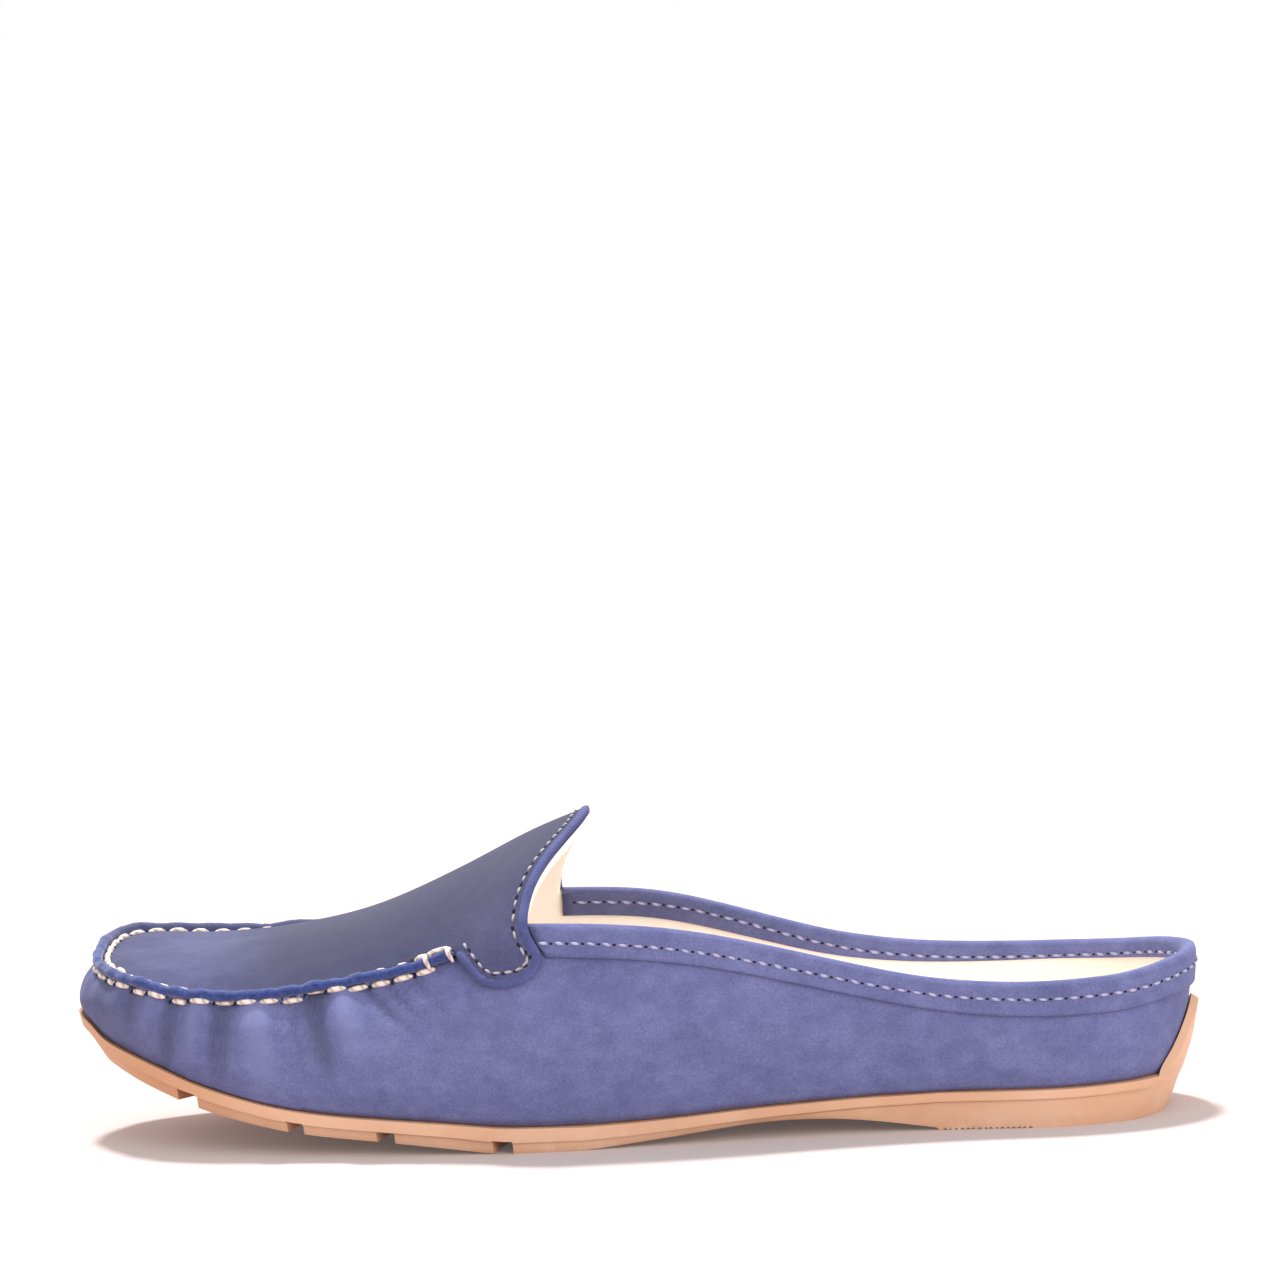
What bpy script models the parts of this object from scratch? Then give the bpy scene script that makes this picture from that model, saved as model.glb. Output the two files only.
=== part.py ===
"""A loafer mule for the left foot, empty and standing on its sole.

A moccasin front with a raised apron seam, a tongue with two saddle ears, and a low back
that runs right round the heel, on one moulded rubber unit with tread blocks, a waist,
a heel pad and a heel rand. Metres, +Z up, toe towards -X, the little-toe side towards -Y.
Every piece is worked out from the same form: the surface of the upper over the last.
"""

import bmesh
import bpy
import numpy as np
from math import acos, cos, exp, pi, radians, sin

# Driving sizes of the shoe
LENGTH = 0.2625
BALL_WIDTH = 0.088
HEEL_WIDTH = 0.060
INSTEP_HEIGHT = 0.0725
COLLAR_HEIGHT = 0.036

# Sizes of the sole
TOE_SPRING = 0.025
ARCH_RISE = 0.0046
FORE_SOLE = 0.0056
HEEL_SOLE = 0.0089
RIM_BAND = 0.0033
RIM_LEDGE = 0.0018
TOE_FULLNESS = 0.0006
TREAD_RECESS = 0.0008
TREAD_STEP = 0.0004
COVE_HEIGHT = 0.34
BOTTOM_DRAFT = 0.0008
TOE_UNDERCUT = 0.0022
HEEL_UNDERCUT = 0.0047
GROOVE_SLANT = 0.007
RAND_HEIGHT = 0.0158
RAND_HALF_WIDTH = 0.0190
RAND_THICKNESS = 0.0018
RAND_ROUNDING = 0.0009
RAND_FALL = 1.4
HEEL_LEAN = 0.0037

# Sizes of the upper and of the pieces on it
WALL = 0.0015
OVERLAY = 0.0011
BEAD_HEIGHT = 0.0029
BEAD_WIDTH = 0.0025
BINDING = 0.0007
BINDING_OUTER_DEPTH = 0.0070
BINDING_INNER_DEPTH = 0.0058
BINDING_CLEARANCE = 0.00066
INSOLE = 0.0028
INSOLE_CUP = 0.0010
INSOLE_SHOULDER = 0.62
SHOULDER_CUP = 0.7
SEAM_SETBACK = 0.0058
TOPLINE_SETBACK = 0.0006
THROAT_SKEW = {"lateral": -0.0011, "medial": 0.0008}
SKEW_SPREAD = 0.05
GAP = 0.0003

# Where the named places lie, as shares of the length
SEAM_END = 0.334
EAR_START = 0.346
THROAT = 0.411
PAD_FRONT = 0.781

# The sole's sections, toe to shank. Columns: place along the rim, the outer and inner edges
# in ball widths, lift of the bottom in toe springs, thickness in forepart soles, rim in bands.
SOLE_FORE = (
    (0.000, 0.060, 0.060, 1.004, 0.80, 0.80),
    (0.006, -0.030, 0.165, 0.984, 0.77, 0.80),
    (0.017, -0.080, 0.225, 0.924, 0.77, 0.80),
    (0.029, -0.125, 0.272, 0.788, 0.89, 0.80),
    (0.052, -0.210, 0.325, 0.690, 0.97, 0.80),
    (0.079, -0.277, 0.360, 0.584, 1.02, 0.80),
    (0.137, -0.364, 0.409, 0.376, 0.98, 0.80),
    (0.215, -0.432, 0.461, 0.202, 0.91, 0.77),
    (0.292, -0.470, 0.492, 0.124, 0.94, 0.80),
    (0.354, -0.487, 0.500, 0.050, 1.05, 0.86),
    (0.387, -0.490, 0.500, 0.008, 1.08, 0.95),
    (0.406, -0.490, 0.498, 0.000, 1.05, 0.97),
    (0.472, -0.472, 0.466, 0.000, 0.976, 0.90),
    (0.515, -0.446, 0.427, 0.042, 0.84, 0.84),
)
# The sole's sections, shank to heel. The same columns in heel widths, arch rises, heel soles
# and bands.
SOLE_REAR = (
    (0.562, -0.615, 0.572, 0.480, 0.455, 0.74),
    (0.640, -0.553, 0.500, 0.930, 0.362, 0.66),
    (0.701, -0.522, 0.485, 0.780, 0.532, 0.62),
    (0.747, -0.508, 0.482, 0.400, 0.748, 0.60),
    (0.778, -0.502, 0.483, 0.140, 0.915, 0.60),
    (PAD_FRONT, -0.502, 0.483, 0.000, 0.990, 0.60),
    (0.871, -0.518, 0.492, 0.000, 0.990, 0.60),
    (0.948, -0.430, 0.410, 0.000, 1.025, 0.62),
    (0.981, -0.290, 0.270, 0.000, 1.045, 0.64),
    (1.000, 0.000, 0.000, 0.000, 1.055, 0.66),
)
# How far the tread is set in from the rim band. Columns: place along the rim, recesses.
TREAD_SETBACK = (
    (0.000, 1.00),
    (0.100, 1.60),
    (0.370, 1.45),
    (0.420, 0.50),
    (0.560, 0.60),
    (0.660, 1.00),
    (0.850, 1.00),
    (0.940, 0.50),
    (1.000, 0.35),
)
# The edges of the unit's side below the rim. Columns: how far in from the rim each lies, in
# tread recesses, bottom drafts, toe undercuts and heel undercuts.
BAND_EDGE = (0.0, 0.0, 0.35, 0.24)
TREAD_EDGE = (1.0, 0.0, 0.40, 0.25)
COVE_EDGE = (1.0, 0.4, 0.40, 0.55)
BOTTOM_EDGE = (1.0, 1.0, 1.00, 0.80)
# The line of the apron seam. Columns: place along the line, the outer and inner edges in
# ball widths, and their heights in instep heights.
SEAM_LINE = (
    (0.000, 0.057, 0.057, 0.571, 0.571),
    (0.002, -0.017, 0.155, 0.560, 0.588),
    (0.0105, -0.091, 0.228, 0.549, 0.601),
    (0.027, -0.170, 0.272, 0.537, 0.606),
    (0.052, -0.239, 0.302, 0.521, 0.601),
    (0.099, -0.299, 0.318, 0.495, 0.586),
    (0.146, -0.318, 0.326, 0.485, 0.582),
    (0.197, -0.322, 0.333, 0.496, 0.591),
    (0.2435, -0.341, 0.343, 0.528, 0.608),
    (0.290, -0.364, 0.361, 0.558, 0.625),
    (EAR_START, -0.396, 0.394, 0.620, 0.651),
    (THROAT, -0.443, 0.443, 0.716, 0.681),
)
# The topline behind the throat. The same columns in heel widths and collar heights.
TOPLINE = (
    (0.478, -0.640, 0.650, 1.422, 1.366),
    (0.556, -0.602, 0.600, 1.345, 1.264),
    (0.606, -0.560, 0.550, 1.256, 1.171),
    (0.684, -0.515, 0.508, 1.102, 1.031),
    (0.768, -0.492, 0.486, 0.962, 0.966),
    (0.852, -0.492, 0.482, 0.918, 0.950),
    (0.926, -0.418, 0.410, 0.926, 0.962),
    (0.977, -0.248, 0.242, 0.977, 1.005),
    (1.000, 0.000, 0.000, 1.025, 1.025),
)
# The depth of the strip folded over the topline. Columns: place along the topline, its outer
# and inner depths.
BINDING_DEPTH = (
    (THROAT, 1.02, 1.00),
    (0.560, 0.96, 0.96),
    (0.680, 0.91, 0.84),
    (0.740, 0.88, 0.72),
    (0.820, 0.97, 0.62),
    (0.880, 1.03, 0.56),
    (0.930, 1.06, 0.60),
    (1.000, 1.08, 0.72),
)
# The ridge of the vamp and tongue, in the middle of the shoe. Columns: the seam place that
# it belongs to, its place along the length, its height in instep heights.
SPINE = (
    (0.000, 0.0686, 0.574),
    (0.099, 0.1314, 0.590),
    (0.146, 0.1657, 0.604),
    (0.197, 0.2095, 0.630),
    (0.2435, 0.2533, 0.663),
    (0.290, 0.2990, 0.724),
    (EAR_START, 0.3660, 0.840),
    (0.377, 0.4171, 0.934),
    (THROAT, 0.4690, 1.006),
)
# How the wall leaves the rim and rolls in to its top, in degrees from upright, and how far
# the crown rises above the straight line from seam to ridge.
ROLL = (
    (0.000, 40.0, 58.0, 3.0),
    (0.050, 33.0, 52.0, 6.0),
    (0.104, 29.0, 52.0, 9.0),
    (0.200, 31.0, 54.0, 16.0),
    (0.293, 27.0, 46.0, 23.0),
    (EAR_START, 23.0, 34.0, 27.0),
    (THROAT, 18.0, 24.0, 31.0),
    (0.556, 15.0, 9.0, 31.0),
    (0.766, 18.0, 8.0, 31.0),
    (0.923, 20.0, 3.0, 31.0),
    (1.000, 19.0, -5.0, 31.0),
)
# Lower edge of a saddle ear on the wall, front to rear corner, and its rear edge from the
# corner up to the throat. Columns: place along the wall, height up the wall.
EAR_LOWER_EDGE = (
    (EAR_START, 1.000),
    (0.351, 0.920),
    (0.360, 0.840),
    (0.372, 0.750),
    (0.389, 0.710),
    (0.408, 0.720),
    (0.4215, 0.770),
)
EAR_REAR_EDGE = (
    (THROAT, 1.000),
    (0.4141, 0.950),
    (0.4192, 0.900),
    (0.4254, 0.860),
    (0.4268, 0.820),
    (0.4215, 0.770),
)
# Grooves between the tread blocks, as places along the outer edge
GROOVES = ((0.1005, 0.1215), (0.2030, 0.2185), (0.2840, 0.3005), (0.3880, 0.4060))

# Resolution of the solids
WALL_ROWS = 6
CROWN_ROWS = 6
EAR_ROWS = 4
TOE_TURN = 0.80
TOE_COLUMNS = 15
VAMP_COLUMNS = 4
EAR_COLUMNS = 5
QUARTER_COLUMNS = 17
HEEL_COLUMNS = 14
BEAD_SIDES = 8
RAND_ROWS = 3
STATION_SPACING = 0.012

TOE = -LENGTH / 2
BACK = LENGTH / 2
RIM_LENGTH = LENGTH - HEEL_LEAN
TOP_LENGTH = LENGTH - SEAM_SETBACK - TOPLINE_SETBACK
HANDLE = 0.36
TOE_SPREAD = 0.50
HEEL_SPREAD = 0.75
HEEL_EASE = 1.6
HEEL_START = 0.90
CROWN_EASE = 1.15
THROAT_EASE = 3
EAR_EASE = 4
SIDES = {"lateral": 1, "medial": 2}
UP = np.array((0.0, 0.0, 1.0))


class Curve:
    """A smooth curve through a table's rows that never swings past them."""

    def __init__(self, places, values):
        self.places = np.array(places, dtype=float)
        self.values = np.array(values, dtype=float)
        step = np.diff(self.places)
        rise = np.diff(self.values) / step
        slope = np.zeros(len(self.values))
        slope[0] = rise[0]
        slope[-1] = rise[-1]
        for i in range(1, len(rise)):
            if rise[i - 1] * rise[i] > 0:
                before = 2 * step[i] + step[i - 1]
                after = step[i] + 2 * step[i - 1]
                slope[i] = (before + after) / (before / rise[i - 1] + after / rise[i])
        self.slope = slope

    def __call__(self, place):
        place = min(max(place, self.places[0]), self.places[-1])
        i = int(np.searchsorted(self.places, place, side="right")) - 1
        i = min(max(i, 0), len(self.places) - 2)
        step = self.places[i + 1] - self.places[i]
        t = (place - self.places[i]) / step
        start = (1 + 2 * t) * (1 - t) ** 2 * self.values[i]
        end = t * t * (3 - 2 * t) * self.values[i + 1]
        leave = t * (1 - t) ** 2 * step * self.slope[i]
        arrive = t * t * (t - 1) * step * self.slope[i + 1]
        return start + end + leave + arrive


def turn(share):
    """The angle that stands for a place along the length: it is even round toe and heel."""
    return acos(1 - 2 * min(max(share, 0.0), 1.0))


def share_of(angle):
    return (1 - cos(angle)) / 2


def column(rows, index, size):
    return [row[index] * size for row in rows]


def joined(front, rear, index, front_size, rear_size):
    """One curve over the turn, through a front table and the rear table behind it."""
    places = [turn(row[0]) for row in front + rear]
    return Curve(places, column(front, index, front_size) + column(rear, index, rear_size))


def height_curve(front_values, rear_values):
    places = [row[0] for row in SOLE_FORE + SOLE_REAR]
    return Curve(places, front_values + rear_values)


RIM_EDGE = {
    side: joined(SOLE_FORE, SOLE_REAR, index, BALL_WIDTH, HEEL_WIDTH)
    for side, index in SIDES.items()
}
TOP_EDGE = {
    side: joined(SEAM_LINE, TOPLINE, index, BALL_WIDTH, HEEL_WIDTH)
    for side, index in SIDES.items()
}
TOP_HEIGHT = {
    side: joined(SEAM_LINE, TOPLINE, index + 2, INSTEP_HEIGHT, COLLAR_HEIGHT)
    for side, index in SIDES.items()
}
LIFT = height_curve(column(SOLE_FORE, 3, TOE_SPRING), column(SOLE_REAR, 3, ARCH_RISE))
THICKNESS = height_curve(column(SOLE_FORE, 4, FORE_SOLE), column(SOLE_REAR, 4, HEEL_SOLE))
BAND = height_curve(column(SOLE_FORE, 5, RIM_BAND), column(SOLE_REAR, 5, RIM_BAND))
SPINE_PLACE = Curve([turn(row[0]) for row in SPINE], column(SPINE, 1, LENGTH))
SPINE_HEIGHT = Curve(column(SPINE, 1, LENGTH), column(SPINE, 2, INSTEP_HEIGHT))
FLARE = Curve([turn(row[0]) for row in ROLL], column(ROLL, 1, 1.0))
LEAN = Curve([turn(row[0]) for row in ROLL], column(ROLL, 2, 1.0))
CROWN = Curve([turn(row[0]) for row in ROLL], column(ROLL, 3, 1.0))
SETBACK = Curve(column(TREAD_SETBACK, 0, 1.0), column(TREAD_SETBACK, 1, TREAD_RECESS))
OUTER_DEPTH = Curve(column(BINDING_DEPTH, 0, 1.0), column(BINDING_DEPTH, 1, BINDING_OUTER_DEPTH))
INNER_DEPTH = Curve(column(BINDING_DEPTH, 0, 1.0), column(BINDING_DEPTH, 2, BINDING_INNER_DEPTH))


def unit(vector):
    return vector / np.linalg.norm(vector)


def rim_share(x):
    return (x - TOE) / RIM_LENGTH


def bottom_height(x):
    return LIFT(rim_share(x))


def rim_height(x):
    return LIFT(rim_share(x)) + THICKNESS(rim_share(x))


def tread_height(x):
    """Height of the rim band's lower edge, where the tread begins."""
    return rim_height(x) - BAND(rim_share(x))


def rim_point(side, angle):
    """A point of the sole's outline, seen from above."""
    return np.array((TOE + RIM_LENGTH * share_of(angle), RIM_EDGE[side](angle), 0.0))


def outward(side, angle):
    """The level direction out of the shoe at a place of its outline."""
    if angle < 1e-6 or angle > pi - 1e-6:
        return np.array((-cos(angle), 0.0, 0.0))
    step = 0.002
    after = rim_point(side, min(angle + step, pi))
    before = rim_point(side, max(angle - step, 0.0))
    along = unit(after - before)
    if side == "lateral":
        return np.array((along[1], -along[0], 0.0))
    return np.array((-along[1], along[0], 0.0))


def rim_inset(side, angle, inset):
    return rim_point(side, angle) - outward(side, angle) * inset


def toe_share(angle):
    return max(1 - angle / TOE_SPREAD, 0.0)


def heel_share(angle):
    return max(1 - (pi - angle) / HEEL_SPREAD, 0.0) ** HEEL_EASE


def foot_of_wall(side, angle):
    point = rim_inset(side, angle, RIM_LEDGE - TOE_FULLNESS * toe_share(angle))
    point[2] = rim_height(point[0]) + GAP
    return point


def top_of_wall(side, angle):
    """A point of the apron seam, and behind the throat of the topline."""
    place = share_of(angle)
    x = TOE + SEAM_SETBACK + TOP_LENGTH * place
    x += THROAT_SKEW[side] * exp(-(((place - THROAT) / SKEW_SPREAD) ** 2))
    return np.array((x, TOP_EDGE[side](angle), TOP_HEIGHT[side](angle)))


def ridge(angle):
    place = SPINE_PLACE(angle)
    toe_side = 1 - place / (THROAT * LENGTH)
    swing = SOLE_FORE[0][1] * BALL_WIDTH * max(toe_side, 0.0)
    return np.array((TOE + place, swing, SPINE_HEIGHT(place)))


def bezier(cage, t):
    s = 1 - t
    return s**3 * cage[0] + 3 * s * s * t * cage[1] + 3 * s * t * t * cage[2] + t**3 * cage[3]


def wall_cage(side, angle):
    foot = foot_of_wall(side, angle)
    top = top_of_wall(side, angle)
    out = outward(side, angle)
    reach = HANDLE * np.linalg.norm(top - foot)
    flare = radians(FLARE(angle))
    lean = radians(LEAN(angle))
    leaving = UP * cos(flare) + out * sin(flare)
    arriving = UP * cos(lean) - out * sin(lean)
    return foot, foot + leaving * reach, top - arriving * reach, top


def crown_cage(side, angle):
    """From the seam over to the ridge, level across the ridge so both sides meet smoothly."""
    seam = top_of_wall(side, angle)
    peak = ridge(angle)
    flat = peak - seam
    rise = flat[2]
    flat[2] = 0.0
    span = np.linalg.norm(flat)
    ahead = flat / span
    climb = np.arctan2(rise, span) + radians(CROWN(angle))
    place = SPINE_PLACE(angle)
    step = 0.001
    pitch = (SPINE_HEIGHT(place + step) - SPINE_HEIGHT(place - step)) / (2 * step)
    arriving = ahead + UP * pitch * ahead[0]
    leaving = ahead * cos(climb) + UP * sin(climb)
    reach = HANDLE * np.linalg.norm(peak - seam)
    return seam, seam + leaving * reach, peak - arriving * reach, peak


def form(side, angle, level):
    """The outer face of the upper. Level 0 is the rim, 1 the seam or topline, 2 the ridge."""
    if level <= 1:
        return bezier(wall_cage(side, angle), level)
    cage = crown_cage(side, angle)
    t = level - 1
    point = bezier(cage, t)
    rounded = (1 + cos(pi * (1 - t) ** CROWN_EASE)) / 2
    share = min(angle / turn(THROAT), 1.0) ** THROAT_EASE
    straight = cage[0][0] + (cage[3][0] - cage[0][0]) * rounded
    point[0] += (straight - point[0]) * share
    return point


def normal(side, angle, level):
    """The direction out of the form's surface, shared where the two sides meet."""
    if level > 2 - 1e-6:
        along = ridge(angle + 0.01) - ridge(max(angle - 0.01, 0.0))
        return unit(np.array((-along[2], 0.0, along[0])))
    if angle < 1e-6 or angle > pi - 1e-6:
        return unit(sum(side_normal(one, angle, level) for one in SIDES))
    return side_normal(side, angle, level)


def side_normal(side, angle, level):
    step = 0.004
    low = max(level - step, 0.0 if level <= 1 else 1 + 1e-6)
    high = min(level + step, 1.0 if level <= 1 else 2.0)
    rise = form(side, angle, high) - form(side, angle, low)
    level = min(max(level, low), high)
    ahead = form(side, min(angle + step, pi), level) - form(side, max(angle - step, 0.0), level)
    across = np.cross(ahead, rise)
    return unit(across if side == "lateral" else -across)


def lifted(side, angle, level, height):
    return form(side, angle, level) + normal(side, angle, level) * height


def level_at_depth(side, angle, depth):
    """The level on the wall that lies this far below its top, along the wall."""
    foot, _, _, top = wall_cage(side, angle)
    return 1 - depth / np.linalg.norm(top - foot)


def level_at_height(side, angle, height):
    low = 0.0
    high = 1.0
    for _ in range(24):
        middle = (low + high) / 2
        if form(side, angle, middle)[2] < height:
            low = middle
        else:
            high = middle
    return (low + high) / 2


def spaced(start, end, count):
    return list(np.linspace(start, end, count + 1))


FRONT = (
    spaced(0.0, TOE_TURN, TOE_COLUMNS)
    + spaced(TOE_TURN, turn(SEAM_END), VAMP_COLUMNS)[1:]
    + spaced(turn(EAR_START), turn(THROAT), EAR_COLUMNS)
)
REAR = spaced(turn(THROAT), pi, QUARTER_COLUMNS)
EAR_COLUMN = TOE_COLUMNS + VAMP_COLUMNS + 1
THROAT_COLUMN = len(FRONT) - 1


def skin(mesh, side, grid):
    """Faces over a grid of points, columns towards the heel and rows upwards."""
    columns = [[mesh.verts.new(point) for point in points] for points in grid]
    for left, right in zip(columns, columns[1:]):
        for i in range(len(left) - 1):
            corners = [left[i], right[i], right[i + 1], left[i + 1]]
            if side == "medial":
                corners.reverse()
            mesh.faces.new(corners)


def hull_of_rings(mesh, rings):
    """A closed skin through rings with the same number of points, capped at both ends."""
    loops = [[mesh.verts.new(point) for point in ring] for ring in rings]
    for left, right in zip(loops, loops[1:]):
        for i in range(len(left)):
            j = (i + 1) % len(left)
            mesh.faces.new((left[i], right[i], right[j], left[j]))
    mesh.faces.new(loops[0])
    mesh.faces.new(list(reversed(loops[-1])))


def finished(mesh, name, material, collection, closed=True):
    """Merge the seams of a mesh, drop what has collapsed, and link it as an object."""
    bmesh.ops.remove_doubles(mesh, verts=mesh.verts, dist=2e-6)
    bmesh.ops.dissolve_degenerate(mesh, edges=mesh.edges, dist=2e-6)
    if closed:
        bmesh.ops.recalc_face_normals(mesh, faces=mesh.faces)
    data = bpy.data.meshes.new(name)
    mesh.to_mesh(data)
    mesh.free()
    data.materials.append(material)
    data.shade_smooth()
    data.set_sharp_from_angle(angle=radians(38))
    piece = bpy.data.objects.new(name, data)
    collection.objects.link(piece)
    return piece


def add_wall(piece, thickness):
    """Give an open surface its thickness, inwards from the surface."""
    wall = piece.modifiers.new("wall", "SOLIDIFY")
    wall.thickness = thickness
    wall.offset = -1
    wall.use_rim = True
    wall.use_even_offset = False


def make_material(name, colour, roughness):
    material = bpy.data.materials.new(name)
    material.use_nodes = True
    shader = material.node_tree.nodes["Principled BSDF"]
    shader.inputs["Base Color"].default_value = (*colour, 1.0)
    shader.inputs["Roughness"].default_value = roughness
    shader.inputs["Metallic"].default_value = 0.0
    return material


def rand_lift(y):
    """How far the rand stands above the rim, this far from the middle of the heel."""
    share = min(abs(y) / RAND_HALF_WIDTH, 1.0)
    return RAND_HEIGHT * (1 - share**2) ** RAND_FALL


def rand_point(side, angle, height, out):
    """A point against the back of the upper, at a height and so far off its face."""
    level = level_at_height(side, angle, height)
    return lifted(side, angle, level, out)


def rand_face(side, angle, rise, out):
    """A line of points up one face of the rand, on the rim where there is no rand."""
    rim = rim_point(side, angle)
    rim[2] = rim_height(rim[0])
    points = []
    for row in range(RAND_ROWS + 1):
        point = rim.copy()
        if rise > 0:
            height = rim[2] + GAP + rise * row / RAND_ROWS
            point = rand_point(side, angle, height, out)
        points.append(point)
    return points


def side_point(side, angle, edge):
    """A point of the unit's side below the rim, not yet at its height."""
    recesses, drafts, toe, heel = edge
    inset = recesses * SETBACK(share_of(angle)) + drafts * BOTTOM_DRAFT
    inset += toe * TOE_UNDERCUT * toe_share(angle) + heel * HEEL_UNDERCUT * heel_share(angle)
    return rim_inset(side, angle, inset)


def sole_edge(side, angle):
    """One side of a section of the unit, from the foot of the rand down to the bottom."""
    rim = rim_point(side, angle)
    rim[2] = rim_height(rim[0])
    band_height = tread_height(rim[0])
    rise = rand_lift(rim[1]) if share_of(angle) > HEEL_START else 0.0
    inner = rand_face(side, angle, rise, GAP)
    inner[0][2] = rim[2]
    rounding = min(RAND_ROUNDING, rise / 2)
    outer = rand_face(side, angle, rise - rounding, GAP + RAND_THICKNESS)
    points = inner + list(reversed(outer[1:])) + [rim]
    band = side_point(side, angle, BAND_EDGE)
    band[2] = band_height
    tread = side_point(side, angle, TREAD_EDGE)
    tread[2] = band_height - TREAD_STEP
    cove = side_point(side, angle, COVE_EDGE)
    cove[2] = (1 - COVE_HEIGHT) * bottom_height(cove[0]) + COVE_HEIGHT * band_height
    bottom = side_point(side, angle, BOTTOM_EDGE)
    bottom[2] = bottom_height(bottom[0])
    return points + [band, tread, cove, bottom]


def sole_stations():
    """Places of the unit's sections: the upper's own, and the front edge of the heel pad."""
    kept_places = [row[0] for row in SOLE_REAR if abs(row[0] - PAD_FRONT) < STATION_SPACING / 2]
    pad = [turn(place) for place in kept_places]
    pad += [turn(row[0]) for row in SOLE_FORE[-3:]]
    heel = spaced(turn(HEEL_START), pi, HEEL_COLUMNS)
    stations = sorted(set(FRONT + REAR[1:] + heel + pad))
    kept = [stations[0]]
    for angle in stations[1:]:
        if angle in pad or angle - kept[-1] > STATION_SPACING:
            kept.append(angle)
    return kept


def make_groove(start, end, cutters):
    """A cutter for one groove: it runs in from both edges and slants towards the heel."""
    mesh = bmesh.new()
    front = TOE + RIM_LENGTH * start
    rear = TOE + RIM_LENGTH * end
    edge = -RIM_EDGE["lateral"](turn((start + end) / 2))
    width = BALL_WIDTH
    swing = GROOVE_SLANT * (1 - width / edge)
    plan = (
        (front + swing, -width), (rear + swing, -width), (rear + GROOVE_SLANT, 0.0),
        (rear + swing, width), (front + swing, width), (front + GROOVE_SLANT, 0.0),
    )
    floor = [mesh.verts.new((x, y, -HEEL_SOLE)) for x, y in plan]
    face = mesh.faces.new(floor)
    grown = bmesh.ops.extrude_face_region(mesh, geom=[face])
    for vert in grown["geom"]:
        if isinstance(vert, bmesh.types.BMVert):
            vert.co.z = tread_height(vert.co.x)
    cutter = finished(mesh, "groove_cutter", make_material("cutter", (0.5, 0.5, 0.5), 0.5), cutters)
    cutter.hide_render = True
    cutter.display_type = "WIRE"
    return cutter


def make_outsole(shoe, cutters, material):
    """The moulded unit: rim band, tread blocks, waist, heel pad and heel rand in one."""
    mesh = bmesh.new()
    rings = []
    for angle in sole_stations():
        outer = sole_edge("lateral", angle)
        inner = sole_edge("medial", angle)
        middle = (outer[-1] + inner[-1]) / 2
        middle[2] = bottom_height(middle[0])
        crest = (outer[0] + inner[0]) / 2
        crest[2] = rim_height(crest[0])
        rings.append([crest, *outer, middle, *reversed(inner)])
    hull_of_rings(mesh, rings)
    outsole = finished(mesh, "outsole", material, shoe)
    for start, end in GROOVES:
        cut = outsole.modifiers.new("groove", "BOOLEAN")
        cut.operation = "DIFFERENCE"
        cut.solver = "EXACT"
        cut.object = make_groove(start, end, cutters)
    return outsole


def make_upper(shoe, material):
    """The shell: walls all round, the front closed over to the ridge, open underneath."""
    mesh = bmesh.new()
    for side in SIDES:
        wall_levels = spaced(0.0, 1.0, WALL_ROWS)
        crown_levels = spaced(1.0, 2.0, CROWN_ROWS)
        walls = [[form(side, angle, level) for level in wall_levels] for angle in FRONT + REAR[1:]]
        crowns = [[form(side, angle, level) for level in crown_levels] for angle in FRONT]
        skin(mesh, side, walls)
        skin(mesh, side, crowns)
    upper = finished(mesh, "upper", material, shoe, closed=False)
    add_wall(upper, WALL)
    return upper


def apron_margin(side, angle):
    """The share of the crown that the raised seam keeps the apron away from it."""
    crown = np.linalg.norm(ridge(angle) - top_of_wall(side, angle))
    return (BEAD_WIDTH / 2 + 2 * GAP) / crown


def make_apron(shoe, material):
    """The apron and tongue, with a saddle ear down each side, laid over the upper."""
    mesh = bmesh.new()
    height = GAP + OVERLAY
    lower = Curve(column(EAR_LOWER_EDGE, 0, 1.0), column(EAR_LOWER_EDGE, 1, 1.0))
    rear = Curve([-level for _, level in EAR_REAR_EDGE], column(EAR_REAR_EDGE, 0, 1.0))
    corner = EAR_LOWER_EDGE[-1][0]
    for side in SIDES:
        crowns = []
        for i, angle in enumerate(FRONT):
            margin = apron_margin(side, angle) if i < EAR_COLUMN else 0.0
            levels = spaced(1.0 + margin, 2.0, CROWN_ROWS)
            crowns.append([lifted(side, angle, level, height) for level in levels])
        ears = []
        for i, angle in enumerate(FRONT[EAR_COLUMN:]):
            share = i / EAR_COLUMNS
            foot = EAR_START + (corner - EAR_START) * share
            points = []
            for row in range(EAR_ROWS + 1):
                down = 1 - row / EAR_ROWS
                level = 1 - (1 - lower(foot)) * down
                straight = share_of(angle) + (foot - share_of(angle)) * down
                place = straight + (rear(-level) - straight) * share**EAR_EASE
                points.append(lifted(side, turn(place), level, height))
            ears.append(points)
        for crown, ear in zip(crowns[EAR_COLUMN:], ears):
            ear[-1] = crown[0]
        skin(mesh, side, crowns)
        skin(mesh, side, ears)
    apron = finished(mesh, "apron", material, shoe, closed=False)
    add_wall(apron, OVERLAY)
    return apron


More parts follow.
